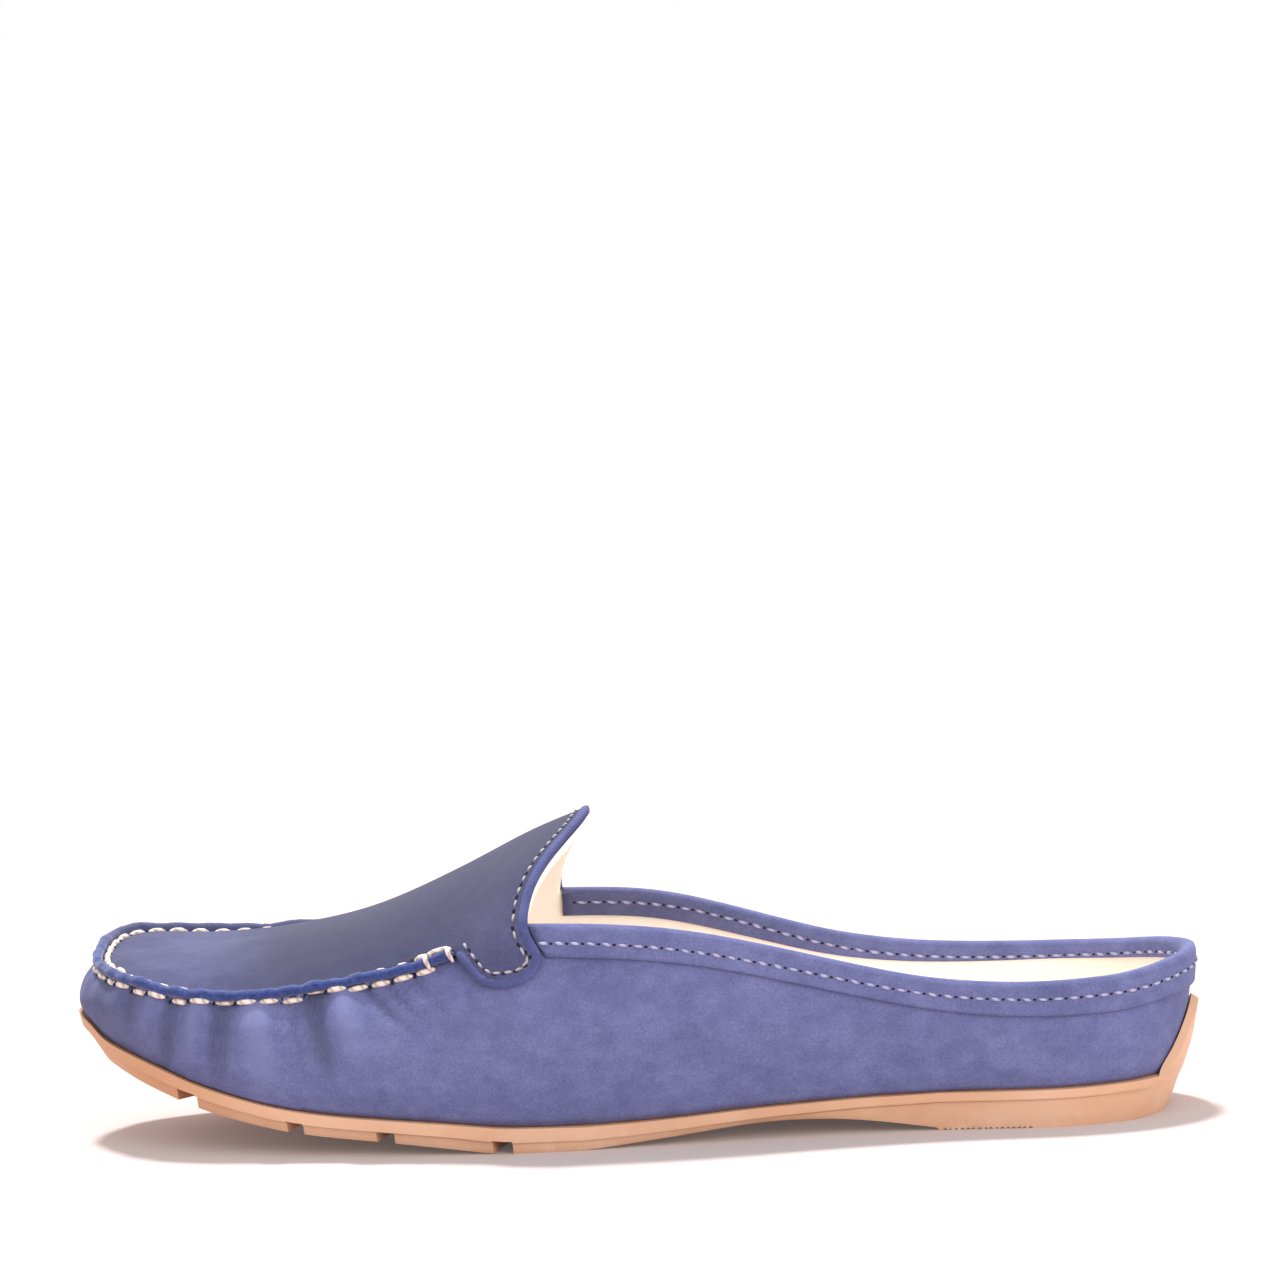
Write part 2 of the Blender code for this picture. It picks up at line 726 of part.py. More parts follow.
def make_apron_seam(shoe, material):
    """The raised bead where apron and vamp are pinched together, from ear to ear."""
    angles = FRONT[:EAR_COLUMN]
    route = [("lateral", angle) for angle in reversed(angles)]
    route += [("medial", angle) for angle in angles[1:]]
    rings = []
    for side, angle in route:
        seam = top_of_wall(side, angle)
        off = unit(normal(side, angle, 1.0) + normal(side, angle, 1.0 + 1e-5))
        step = 0.004
        ahead = top_of_wall(side, angle + step) - top_of_wall(side, max(angle - step, 0.0))
        if angle == 0.0:
            ahead = top_of_wall("medial", step) - top_of_wall("lateral", step)
        elif side == "lateral":
            ahead = -ahead
        ahead = unit(ahead)
        off = unit(off - ahead * off.dot(ahead))
        across = np.cross(ahead, off)
        centre = seam + off * (GAP + BEAD_HEIGHT / 2)
        ring = []
        for corner in range(BEAD_SIDES):
            bend = 2 * pi * corner / BEAD_SIDES
            reach = across * cos(bend) * BEAD_WIDTH / 2
            ring.append(centre + reach + off * sin(bend) * BEAD_HEIGHT / 2)
        rings.append(ring)
    mesh = bmesh.new()
    hull_of_rings(mesh, rings)
    return finished(mesh, "apron_seam", material, shoe)


def binding_section(side, place_of_depth):
    """The folded strip in section: down the outer face, over the edge, down the inner face."""
    edge = place_of_depth(0.0)
    outer_depth = OUTER_DEPTH(edge)
    inner_depth = INNER_DEPTH(edge)

    def on_face(place, depth, out):
        angle = turn(place)
        return lifted(side, angle, level_at_depth(side, angle, depth), out)

    def outside(depth, out):
        return on_face(place_of_depth(depth), depth, out)

    def inside(depth, out):
        return on_face(edge, depth, -(WALL + out))

    def above(out, rise):
        cage = wall_cage(side, turn(edge))
        return lifted(side, turn(edge), 1.0, out) + unit(cage[3] - cage[2]) * rise

    outer = GAP + BINDING
    return [
        outside(outer_depth, outer), outside(outer_depth / 2, outer), above(outer, 0.0),
        above(-WALL / 2, outer), above(-(WALL + outer), 0.0),
        inside(inner_depth / 2, outer), inside(inner_depth, outer),
        inside(inner_depth, GAP), inside(inner_depth / 2, GAP),
        above(-(WALL + GAP), GAP), above(GAP, GAP),
        outside(outer_depth / 2, GAP), outside(outer_depth, GAP),
    ]


def make_topline_binding(shoe, material):
    """The strip folded over the topline, from one ear round the heel to the other."""
    ear = Curve([-level for _, level in EAR_REAR_EDGE], column(EAR_REAR_EDGE, 0, 1.0))
    margin = BINDING_CLEARANCE / LENGTH

    def start_place(side):
        def place(depth):
            level = level_at_depth(side, turn(THROAT), depth)
            return ear(-level) + margin
        return place

    def section(side, index):
        start = start_place(side)
        skew = max(1 - index / 3, 0.0)

        def place(depth):
            return share_of(REAR[index] + (turn(start(depth)) - REAR[0]) * skew)
        return binding_section(side, place)

    last = len(REAR) - 1
    rings = [section("lateral", index) for index in range(last + 1)]
    rings += [section("medial", index) for index in reversed(range(last))]
    mesh = bmesh.new()
    hull_of_rings(mesh, rings)
    return finished(mesh, "topline_binding", material, shoe)


def make_insole(shoe, material):
    """The leather sock on its board, inside the walls and on the unit's top face."""
    inset = RIM_LEDGE + WALL + GAP
    rings = []
    first = sole_stations()[1] * 0.5
    stations = [first] + [a for a in FRONT[2:] + REAR[1:-1]] + [pi - 0.04]
    for angle in stations:
        edges = {side: rim_inset(side, angle, inset) for side in SIDES}
        ring = []
        for side, order in (("lateral", 1), ("medial", -1)):
            edge = edges[side]
            centre = (edges["lateral"] + edges["medial"]) / 2
            inner = INSOLE_SHOULDER * edge + (1 - INSOLE_SHOULDER) * centre
            foot = edge.copy()
            foot[2] = rim_height(edge[0]) + GAP
            rim = edge.copy()
            rim[2] = foot[2] + INSOLE
            inner[2] = rim_height(inner[0]) + GAP + INSOLE - INSOLE_CUP * SHOULDER_CUP
            ring += [foot, rim, inner][::order]
            if side == "lateral":
                middle = (edges["lateral"] + edges["medial"]) / 2
                middle[2] = rim_height(middle[0]) + GAP + INSOLE - INSOLE_CUP
                ring.append(middle)
        rings.append(ring)
    mesh = bmesh.new()
    hull_of_rings(mesh, rings)
    return finished(mesh, "insole", material, shoe)


def main():
    for old in list(bpy.data.objects):
        bpy.data.objects.remove(old, do_unlink=True)
    shoe = bpy.data.collections.new("loafer_mule")
    cutters = bpy.data.collections.new("cutters")
    for collection in (shoe, cutters):
        bpy.context.scene.collection.children.link(collection)
    nubuck = make_material("blue_nubuck", (0.045, 0.070, 0.230), 0.85)
    raw_edge = make_material("blue_suede_edge", (0.030, 0.060, 0.300), 0.9)
    rubber = make_material("caramel_rubber", (0.480, 0.220, 0.090), 0.5)
    leather = make_material("cream_leather", (0.760, 0.600, 0.440), 0.6)
    make_outsole(shoe, cutters, rubber)
    make_insole(shoe, leather)
    make_upper(shoe, nubuck)
    make_apron(shoe, nubuck)
    make_apron_seam(shoe, raw_edge)
    make_topline_binding(shoe, nubuck)


main()
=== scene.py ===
"""The looks of a loafer mule for the left foot: blue nubuck, a hand-stitched moccasin
front, cream leather inside, on a caramel rubber unit. Metres, toe towards -X, the
little-toe side towards -Y, standing on the floor at z = 0."""

import math
import random

import bmesh
import bpy
import numpy as np
from mathutils import Matrix, Vector, noise
from mathutils.bvhtree import BVHTree
from mathutils.kdtree import KDTree


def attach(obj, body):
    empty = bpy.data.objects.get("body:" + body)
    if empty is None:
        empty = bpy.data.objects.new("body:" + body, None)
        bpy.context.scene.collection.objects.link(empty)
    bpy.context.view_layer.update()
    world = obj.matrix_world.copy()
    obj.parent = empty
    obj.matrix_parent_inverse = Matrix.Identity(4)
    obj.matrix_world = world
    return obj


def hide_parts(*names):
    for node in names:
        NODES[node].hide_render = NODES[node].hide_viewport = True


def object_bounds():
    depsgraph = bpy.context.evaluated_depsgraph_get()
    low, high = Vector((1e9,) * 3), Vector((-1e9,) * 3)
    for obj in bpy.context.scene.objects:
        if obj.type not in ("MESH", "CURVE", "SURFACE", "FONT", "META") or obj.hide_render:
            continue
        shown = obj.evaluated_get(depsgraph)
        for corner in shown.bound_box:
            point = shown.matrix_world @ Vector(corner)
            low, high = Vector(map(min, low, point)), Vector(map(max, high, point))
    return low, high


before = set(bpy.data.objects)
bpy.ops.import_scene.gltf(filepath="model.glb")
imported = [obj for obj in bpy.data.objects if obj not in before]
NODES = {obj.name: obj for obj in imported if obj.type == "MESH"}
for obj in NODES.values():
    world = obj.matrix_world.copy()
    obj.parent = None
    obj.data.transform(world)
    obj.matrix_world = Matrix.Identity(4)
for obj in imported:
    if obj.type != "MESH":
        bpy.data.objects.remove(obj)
cad_low, cad_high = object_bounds()
LENGTH = cad_high.x - cad_low.x
MM = 0.001


# The camera stands low on the little-toe side, a little to the heel, and is rolled so that
# the heel sits higher in the picture. It was found from lines of known direction.
PICTURE_PX = 1280
FOCAL_PX = 6600
AIM_PX = (640, 1020.6)
CAMERA_AZIMUTH = math.radians(4.0)
CAMERA_ELEVATION = math.radians(9.0)
CAMERA_ROLL = math.radians(2.5)
CAMERA_DISTANCE = 1.5
CAMERA_AIM = Vector((0.00425, -0.0436, 0.030))
SENSOR = 36.0


def make_camera():
    azimuth, elevation = CAMERA_AZIMUTH, CAMERA_ELEVATION
    level = math.cos(elevation)
    back = Vector((math.sin(azimuth) * level, -math.cos(azimuth) * level, math.sin(elevation)))
    right = Vector((math.cos(azimuth), math.sin(azimuth), 0))
    up = back.cross(right)
    across = right * math.cos(CAMERA_ROLL) - up * math.sin(CAMERA_ROLL)
    upward = up * math.cos(CAMERA_ROLL) + right * math.sin(CAMERA_ROLL)
    tilt = (AIM_PX[1] - PICTURE_PX / 2) / FOCAL_PX
    forward = (upward * tilt - back).normalized()
    upward = across.cross(forward)
    data = bpy.data.cameras.new("camera")
    data.sensor_width = SENSOR
    data.lens = FOCAL_PX / PICTURE_PX * SENSOR
    camera = bpy.data.objects.new("camera", data)
    bpy.context.collection.objects.link(camera)
    turn = Matrix((across, upward, -forward)).transposed().to_4x4()
    camera.matrix_world = Matrix.Translation(CAMERA_AIM + back * CAMERA_DISTANCE) @ turn
    bpy.context.scene.camera = camera


make_camera()


# The unit: one piece of moulded caramel rubber, satin on its band and duller on the tread,
# where it has picked up a little dust. It leaves the mould with small round edges.
UNIT_EDGE = 0.25 * MM
UNIT_CRISP = 30
UNIT_SHARP = 32
UNIT_ROUNDED = 42
PAD_RIB_PITCH = 1.3 * MM
PAD_RIB_DEPTH = 0.45 * MM
PAD_FRONT_SHARE = 0.7700
PAD_BACK_MARGIN = 12 * MM
PAD_WORN_FROM = 0.092
ON_FLOOR = 0.01 * MM
# Painted shade: the rubber darkens towards the toe tip, from the first place to the second along x.
TOE_SHADE_FROM, TOE_SHADE_TO = -0.07, -0.12
DUST_HEIGHT = 0.006
RUBBER = (0.680, 0.405, 0.265)
RUBBER_SHADE = (0.600, 0.325, 0.190)
# The colour of the painted shade at the toe tip.
RUBBER_TOE_SHADE = (0.540, 0.260, 0.130)
RUBBER_DUST = (0.740, 0.510, 0.380)


class Level:
    """A number that changes over a surface. Sums and products of it add Math nodes."""

    def __init__(self, tree, socket):
        self.tree = tree
        self.socket = socket

    def math(self, operation, first, second):
        step = self.tree.nodes.new("ShaderNodeMath")
        step.operation = operation
        for slot, value in zip(step.inputs, (first, second)):
            if isinstance(value, Level):
                self.tree.links.new(value.socket, slot)
            else:
                slot.default_value = value
        return Level(self.tree, step.outputs[0])

    def __add__(self, other):
        return self.math("ADD", self, other)

    def __radd__(self, other):
        return self.math("ADD", other, self)

    def __sub__(self, other):
        return self.math("SUBTRACT", self, other)

    def __rsub__(self, other):
        return self.math("SUBTRACT", other, self)

    def __mul__(self, other):
        return self.math("MULTIPLY", self, other)

    def __rmul__(self, other):
        return self.math("MULTIPLY", other, self)

    def clipped(self):
        return self.math("MAXIMUM", self.math("MINIMUM", self, 1.0), 0.0)


class Finish:
    """One material: a Principled shader and the nodes that feed it."""

    def __init__(self, name, even):
        self.material = bpy.data.materials.new(name)
        self.material.use_nodes = True
        self.tree = self.material.node_tree
        self.shader = self.tree.nodes["Principled BSDF"]
        for socket, value in even.items():
            self.shader.inputs[socket].default_value = value
        self.place = self.add("ShaderNodeTexCoord").outputs["Object"]

    def add(self, kind, settings=(), sockets=()):
        made = self.tree.nodes.new(kind)
        for name, value in dict(settings).items():
            setattr(made, name, value)
        for name, value in dict(sockets).items():
            if isinstance(value, Level):
                value = value.socket
            if isinstance(value, bpy.types.NodeSocket):
                self.tree.links.new(value, made.inputs[name])
            else:
                made.inputs[name].default_value = value
        return made

    def stretched(self, scale):
        return self.add("ShaderNodeMapping", (), {"Vector": self.place, "Scale": scale}).outputs[0]

    def grain(self, scale, detail=3.0, rough=0.55, place=None):
        """Noise from 0 to 1, with its features 1/scale metres wide."""
        sockets = {"Vector": place or self.place, "Scale": scale, "Detail": detail}
        sockets["Roughness"] = rough
        return Level(self.tree, self.add("ShaderNodeTexNoise", (), sockets).outputs[0])

    def stepped(self, level, low, high):
        """Level spread so that low becomes 0 and high becomes 1, with a soft start and end."""
        settings = {"interpolation_type": "SMOOTHSTEP"}
        sockets = {"Value": level, "From Min": low, "From Max": high}
        return Level(self.tree, self.add("ShaderNodeMapRange", settings, sockets).outputs[0])

    def painted(self, name):
        """A value that was painted on the piece's points."""
        made = self.add("ShaderNodeAttribute", {"attribute_name": name})
        return Level(self.tree, made.outputs["Fac"])

    def blend(self, share, low, high):
        made = self.add("ShaderNodeMix", {"data_type": "RGBA"})
        for slot, value in ((made.inputs[0], share), (made.inputs[6], low), (made.inputs[7], high)):
            if isinstance(value, Level):
                self.tree.links.new(value.socket, slot)
            elif isinstance(value, bpy.types.NodeSocket):
                self.tree.links.new(value, slot)
            elif isinstance(value, tuple):
                slot.default_value = (*value, 1.0)
            else:
                slot.default_value = value
        return made.outputs[2]

    def wave(self, level):
        """A sine of the level, from 0 to 1."""
        return level.math("SINE", level, 0.0) * 0.5 + 0.5

    def colour(self, socket):
        self.tree.links.new(socket, self.shader.inputs["Base Color"])

    def rough(self, level):
        self.tree.links.new(level.socket, self.shader.inputs["Roughness"])

    def relief(self, level, depth):
        """Fine relief, depth metres from 0 to 1 of the level."""
        sockets = {"Height": level, "Distance": depth, "Strength": 1.0}
        made = self.add("ShaderNodeBump", (), sockets)
        self.tree.links.new(made.outputs[0], self.shader.inputs["Normal"])


def merged_copy(node):
    """A copy of a node's mesh with its corners joined and its triangles paired."""
    mesh = bmesh.new()
    mesh.from_mesh(NODES[node].data)
    bmesh.ops.remove_doubles(mesh, verts=mesh.verts, dist=2e-6)
    bmesh.ops.join_triangles(
        mesh, faces=mesh.faces, angle_face_threshold=math.radians(35),
        angle_shape_threshold=math.radians(50),
    )
    return mesh


def keep_edges(mesh, angle):
    """Mark the edges, bent by more than so many degrees, that subdivision leaves crisp."""
    crease = mesh.edges.layers.float.new("crease_edge")
    for edge in mesh.edges:
        if len(edge.link_faces) == 2 and edge.calc_face_angle(0.0) > math.radians(angle):
            edge[crease] = 1.0


def make_piece(name, mesh, finishes, smooth=True):
    data = bpy.data.meshes.new(name)
    mesh.to_mesh(data)
    mesh.free()
    for finish in finishes:
        data.materials.append(finish.material)
    if smooth:
        data.shade_smooth()
    piece = bpy.data.objects.new(name, data)
    bpy.context.collection.objects.link(piece)
    return piece


def smoothed(mesh, levels):
    """The mesh after so many levels of subdivision, as a new mesh."""
    draft = make_piece("draft", mesh, [])
    surface = draft.modifiers.new("surface", "SUBSURF")
    surface.levels = levels
    surface.render_levels = levels
    result = bmesh.new()
    result.from_object(draft, bpy.context.evaluated_depsgraph_get())
    bpy.data.objects.remove(draft)
    result.normal_update()
    return result


def settle(piece, slot, *nodes):
    """The piece belongs to the one body and stands for these nodes; its slot is not used."""
    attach(piece, "root")
    if nodes:
        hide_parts(*nodes)
    return piece


def make_rubber():
    rubber = Finish("caramel_rubber", {"Roughness": 0.45, "Specular IOR Level": 0.4})
    cloud = rubber.grain(38.0, 4.0)
    speck = rubber.grain(1400.0, 2.0)
    even = rubber.blend(rubber.stepped(cloud, 0.35, 0.72), RUBBER, RUBBER_SHADE)
    axes = rubber.add("ShaderNodeSeparateXYZ", (), {0: rubber.place}).outputs
    along = Level(rubber.tree, axes[0])
    height = Level(rubber.tree, axes[2])
    # Painted shade at the toe tip, over the rubber's own tone.
    toe = rubber.stepped(along, TOE_SHADE_FROM, TOE_SHADE_TO) * 0.7
    base = rubber.blend(toe, even, RUBBER_TOE_SHADE)
    low = rubber.stepped(height, DUST_HEIGHT, 0.0)
    dust = low * rubber.stepped(rubber.grain(260.0, 5.0), 0.48, 0.75)
    rubber.colour(rubber.blend((dust * 0.6).clipped(), base, RUBBER_DUST))
    rubber.rough((0.42 + 0.16 * speck + 0.18 * dust).clipped())
    rubber.relief(rubber.grain(2600.0, 3.0) * 0.6 + cloud * 0.4, 0.00003)
    return rubber


def make_outsole():
    mesh = merged_copy("outsole")
    keep_edges(mesh, UNIT_CRISP)
    mesh = smoothed(mesh, 2)
    front = cad_low.x + LENGTH * PAD_FRONT_SHARE
    valleys = []
    step = 0
    while front + step * PAD_RIB_PITCH / 2 < cad_high.x - PAD_BACK_MARGIN:
        x = front + (step + 0.5) * PAD_RIB_PITCH / 2
        if step % 2:
            valleys.append(x)
        low = [f for f in mesh.faces if min(v.co.z for v in f.verts) < ON_FLOOR]
        low = [f for f in low if max(v.co.x for v in f.verts) > front - MM]
        around = set(low)
        for face in low:
            around.update(face.edges)
            around.update(face.verts)
        bmesh.ops.bisect_plane(
            mesh, geom=list(around), plane_co=(x, 0, 0), plane_no=(1, 0, 0), dist=1e-7
        )
        step += 1
    for vert in mesh.verts:
        if vert.co.z < ON_FLOOR and vert.co.x > front:
            if min(abs(vert.co.x - x) for x in valleys) < 1e-6:
                at_rim = any(f.normal.z > -0.5 for f in vert.link_faces)
                worn = at_rim and vert.co.x > PAD_WORN_FROM
                vert.co.z += 0.0 if worn else PAD_RIB_DEPTH
    piece = make_piece("rubber_unit", mesh, [make_rubber()])
    piece.data.set_sharp_from_angle(angle=math.radians(UNIT_SHARP))
    edges = piece.modifiers.new("mould_edges", "BEVEL")
    edges.width = UNIT_EDGE
    edges.segments = 2
    edges.limit_method = "ANGLE"
    edges.angle_limit = math.radians(UNIT_ROUNDED)
    settle(piece, "rubber", "outsole")


make_outsole()


# The sock: thin cream leather on its board, lightly crowned under the foot and glued in
# over the unit. The same soft leather lines the walls.
SOCK_CRISP = 50
CREAM = (0.950, 0.870, 0.780)
CREAM_SHADE = (0.910, 0.790, 0.680)


def make_cream(name):
    cream = Finish(name, {"Roughness": 0.5, "Specular IOR Level": 0.4})
    cloud = cream.grain(45.0, 3.0)
    pores = cream.grain(1500.0, 4.0)
    cream.colour(cream.blend(cream.stepped(cloud, 0.3, 0.8), CREAM, CREAM_SHADE))
    cream.rough(0.42 + 0.2 * pores)
    cream.relief(pores * 0.7 + cream.grain(300.0, 2.0) * 0.3, 0.00006)
    return cream


LINING = make_cream("cream_lining")


def make_insole():
    mesh = merged_copy("insole")
    keep_edges(mesh, SOCK_CRISP)
    mesh = smoothed(mesh, 2)
    settle(make_piece("leather_sock", mesh, [LINING]), "lining_leather", "insole")


make_insole()


# The upper: soft nubuck about a millimetre and a half thick with its lining, lasted over
# the unit. The gathers of the hand seam pull it into puckers below the apron. The main
# puckers are placed one by one, along the seam from the outer ear round to the inner one.
NUBUCK = (0.148, 0.157, 0.330)
NUBUCK_LIGHT = (0.218, 0.226, 0.415)
NUBUCK_DARK = (0.088, 0.095, 0.218)
# The colour of painted shade: at the toe tip, in the pucker troughs, on faces that look up and on
# the inner side of the binding.
NUBUCK_PAINTED_SHADE = (0.058, 0.060, 0.110)
UPPER_CRISP = 65
STITCH_PITCH = 5.4 * MM
GATHER_DEPTH = 0.26 * MM
GATHER_REACH = 3.6 * MM
# Painted shade that darkens the toe tip, from where it starts to where it is full along x.
NUBUCK_TOE_SHADE_FROM, NUBUCK_TOE_SHADE_TO = -0.092, -0.132
# Painted shade on faces that look up: none in front of the first place along x, full behind the
# second.
TOP_SHADE_FROM, TOP_SHADE_TO = -0.108, -0.075
GRAIN_DEPTH = 0.10 * MM


def make_nubuck(name, tint=(1.0, 1.0, 1.0)):
    """Brushed nubuck with painted shade; the tint scales its three blues and its shade colour, for
    the apron's other tone and for the rim's painted highlight.
    """
    nubuck = Finish(name, {
        "Roughness": 0.92, "Specular IOR Level": 0.15, "Sheen Weight": 0.08, "Sheen Roughness": 0.5,
    })
    dark, middle, light, painted_shade = [
        tuple(c * t for c, t in zip(colour, tint))
        for colour in (NUBUCK_DARK, NUBUCK, NUBUCK_LIGHT, NUBUCK_PAINTED_SHADE)
    ]
    patch = nubuck.grain(55.0, 5.0, 0.62)
    streak = nubuck.grain(260.0, 4.0, 0.6, nubuck.stretched((0.7, 1.0, 1.0)))
    nap = nubuck.grain(2200.0, 4.0, 0.8)
    tone = patch * 0.28 + streak * 0.24 + nap * 0.48
    base = nubuck.blend(nubuck.stepped(tone, 0.34, 0.60), dark, middle)
    lit = nubuck.blend(nubuck.stepped(tone, 0.50, 0.70) * 0.6, base, light)
    along = Level(nubuck.tree, nubuck.add("ShaderNodeSeparateXYZ", (), {0: nubuck.place}).outputs[0])
    # Painted shade: the nubuck darkens towards the toe tip.
    toe = nubuck.blend(nubuck.stepped(along, NUBUCK_TOE_SHADE_FROM, NUBUCK_TOE_SHADE_TO) * 0.42, lit, painted_shade)
    fold = nubuck.painted("wear_light_and_shade")
    # Pucker ridges lighter and troughs darker: partly the nap, rubbed on the ridges, and partly
    # painted light on the ridges and painted shade in the troughs.
    worn = nubuck.blend(nubuck.stepped(fold, 0.1, 1.0) * 0.35, toe, light)
    deep = nubuck.blend(nubuck.stepped(fold, -0.05, -0.95) * 0.46, worn, painted_shade)
    # Painted shade on faces that look up, fading out towards the toe.
    top = nubuck.stepped(nubuck.painted("facing_up"), 0.25, 0.95)
    top = top * nubuck.stepped(along, TOP_SHADE_FROM, TOP_SHADE_TO)
    nubuck.colour(nubuck.blend(top * 0.75, deep, painted_shade))
    run = nubuck.painted("seam_run")
    drop = nubuck.painted("seam_drop")
    lines = nubuck.add("ShaderNodeCombineXYZ", (), {0: run, 1: drop * 0.16}).outputs[0]
    wrinkle = nubuck.grain(1.35, 3.0, 0.6, lines) * nubuck.painted("creased")
    nubuck.relief(nap * 0.6 + streak * 0.2 + wrinkle * 12.0, GRAIN_DEPTH)
    return nubuck


SUEDE = make_nubuck("blue_nubuck")


def polyline_length(points):
    steps = np.linalg.norm(np.diff(points, axis=0), axis=1)
    return np.concatenate(([0.0], np.cumsum(steps)))


def respaced(points, step):
    """The same line with its points an even step apart."""
    points = np.array(points)
    run = polyline_length(points)
    count = max(int(round(run[-1] / step)), 2)
    places = np.linspace(0.0, run[-1], count + 1)
    return np.stack([np.interp(places, run, points[:, k]) for k in range(3)], axis=1)


def eased(points, rounds):
    """The line with its small corners taken off; the ends stay."""
    points = np.array(points, dtype=float)
    for _ in range(rounds):
        points[1:-1] = 0.25 * points[:-2] + 0.5 * points[1:-1] + 0.25 * points[2:]
    return points


def sections(mesh, centre, angles):
    """Where upright half planes round a centre cut the mesh's edges, plane by plane."""
    starts = np.array([edge.verts[0].co for edge in mesh.edges])
    ends = np.array([edge.verts[1].co for edge in mesh.edges])
    cuts = []
    for angle in angles:
        along = np.array((math.cos(angle), math.sin(angle)))
        side = np.array((-along[1], along[0]))
        first = (starts[:, :2] - centre) @ side
        last = (ends[:, :2] - centre) @ side
        crossed = (first * last) < 0
        share = first[crossed] / (first[crossed] - last[crossed])
        points = starts[crossed] + (ends[crossed] - starts[crossed]) * share[:, None]
        ahead = (points[:, :2] - centre) @ along > 0
        cuts.append(points[ahead])
    return cuts


class Track:
    """A line laid on a surface: its points, and at each the directions along it, out of
    the surface, and across to its right hand seen from outside."""

    def __init__(self, points, outs):
        self.points = np.array(points)
        self.run = polyline_length(self.points)
        along = np.gradient(self.points, axis=0)
        self.along = along / np.linalg.norm(along, axis=1)[:, None]
        outs = np.array(outs)
        outs = outs - self.along * np.sum(outs * self.along, axis=1)[:, None]
        self.out = outs / np.linalg.norm(outs, axis=1)[:, None]
        self.across = np.cross(self.along, self.out)

    def at(self, run):
        """Point, along, out and across this far down the line."""
        found = []
        for rows in (self.points, self.along, self.out, self.across):
            found.append(Vector([np.interp(run, self.run, rows[:, k]) for k in range(3)]))
        for row in found[1:]:
            row.normalize()
        return found


# The seam's U is cut by half planes round a point inside it. Its line goes on a little
# past the solid bead's two ends, as the real edges do under the last bars.
SEAM_CENTRE = np.array((cad_low.x + 46 * MM, 3 * MM))
SEAM_CUTS = 260
SEAM_END_TURN = 0.035
SEAM_OVERRUN = 2.6 * MM
LINE_STEP = 0.5 * MM


def make_seam_track(upper):
    """The moccasin seam on the upper, from the outer ear round the toe to the inner one."""
    bead = merged_copy("apron_seam")
    centre = SEAM_CENTRE
    turns = [math.atan2(v.co.y - centre[1], v.co.x - centre[0]) % (2 * math.pi) for v in bead.verts]
    low, high = min(turns), max(turns)
    angles = np.linspace(high, low, SEAM_CUTS)[1:-1]
    middles = [cut.mean(axis=0) for cut in sections(bead, centre, angles) if len(cut) >= 6]
    ends = []
    for turn in (high, low):
        ring = [v.co for v, t in zip(bead.verts, turns) if abs(t - turn) < SEAM_END_TURN]
        ends.append(np.mean(np.array(ring), axis=0))
    bead.free()
    middles = respaced(eased([ends[0]] + middles[2:-2] + [ends[1]], 3), LINE_STEP)
    first = middles[0] + (middles[0] - middles[4]) / (4 * LINE_STEP) * SEAM_OVERRUN
    last = middles[-1] + (middles[-1] - middles[-5]) / (4 * LINE_STEP) * SEAM_OVERRUN
    middles = respaced(np.vstack(([first], middles, [last])), LINE_STEP)
    feet = []
    outs = []
    for middle in middles:
        foot = upper.find_nearest(Vector(middle))[0]
        feet.append(foot)
        outs.append(Vector(middle) - foot)
    return Track(eased(feet, 4), eased(outs, 8))


def seam_tree(track):
    tree = KDTree(len(track.points))
    for index, point in enumerate(track.points):
        tree.insert(point, index)
    tree.balance()
    return tree


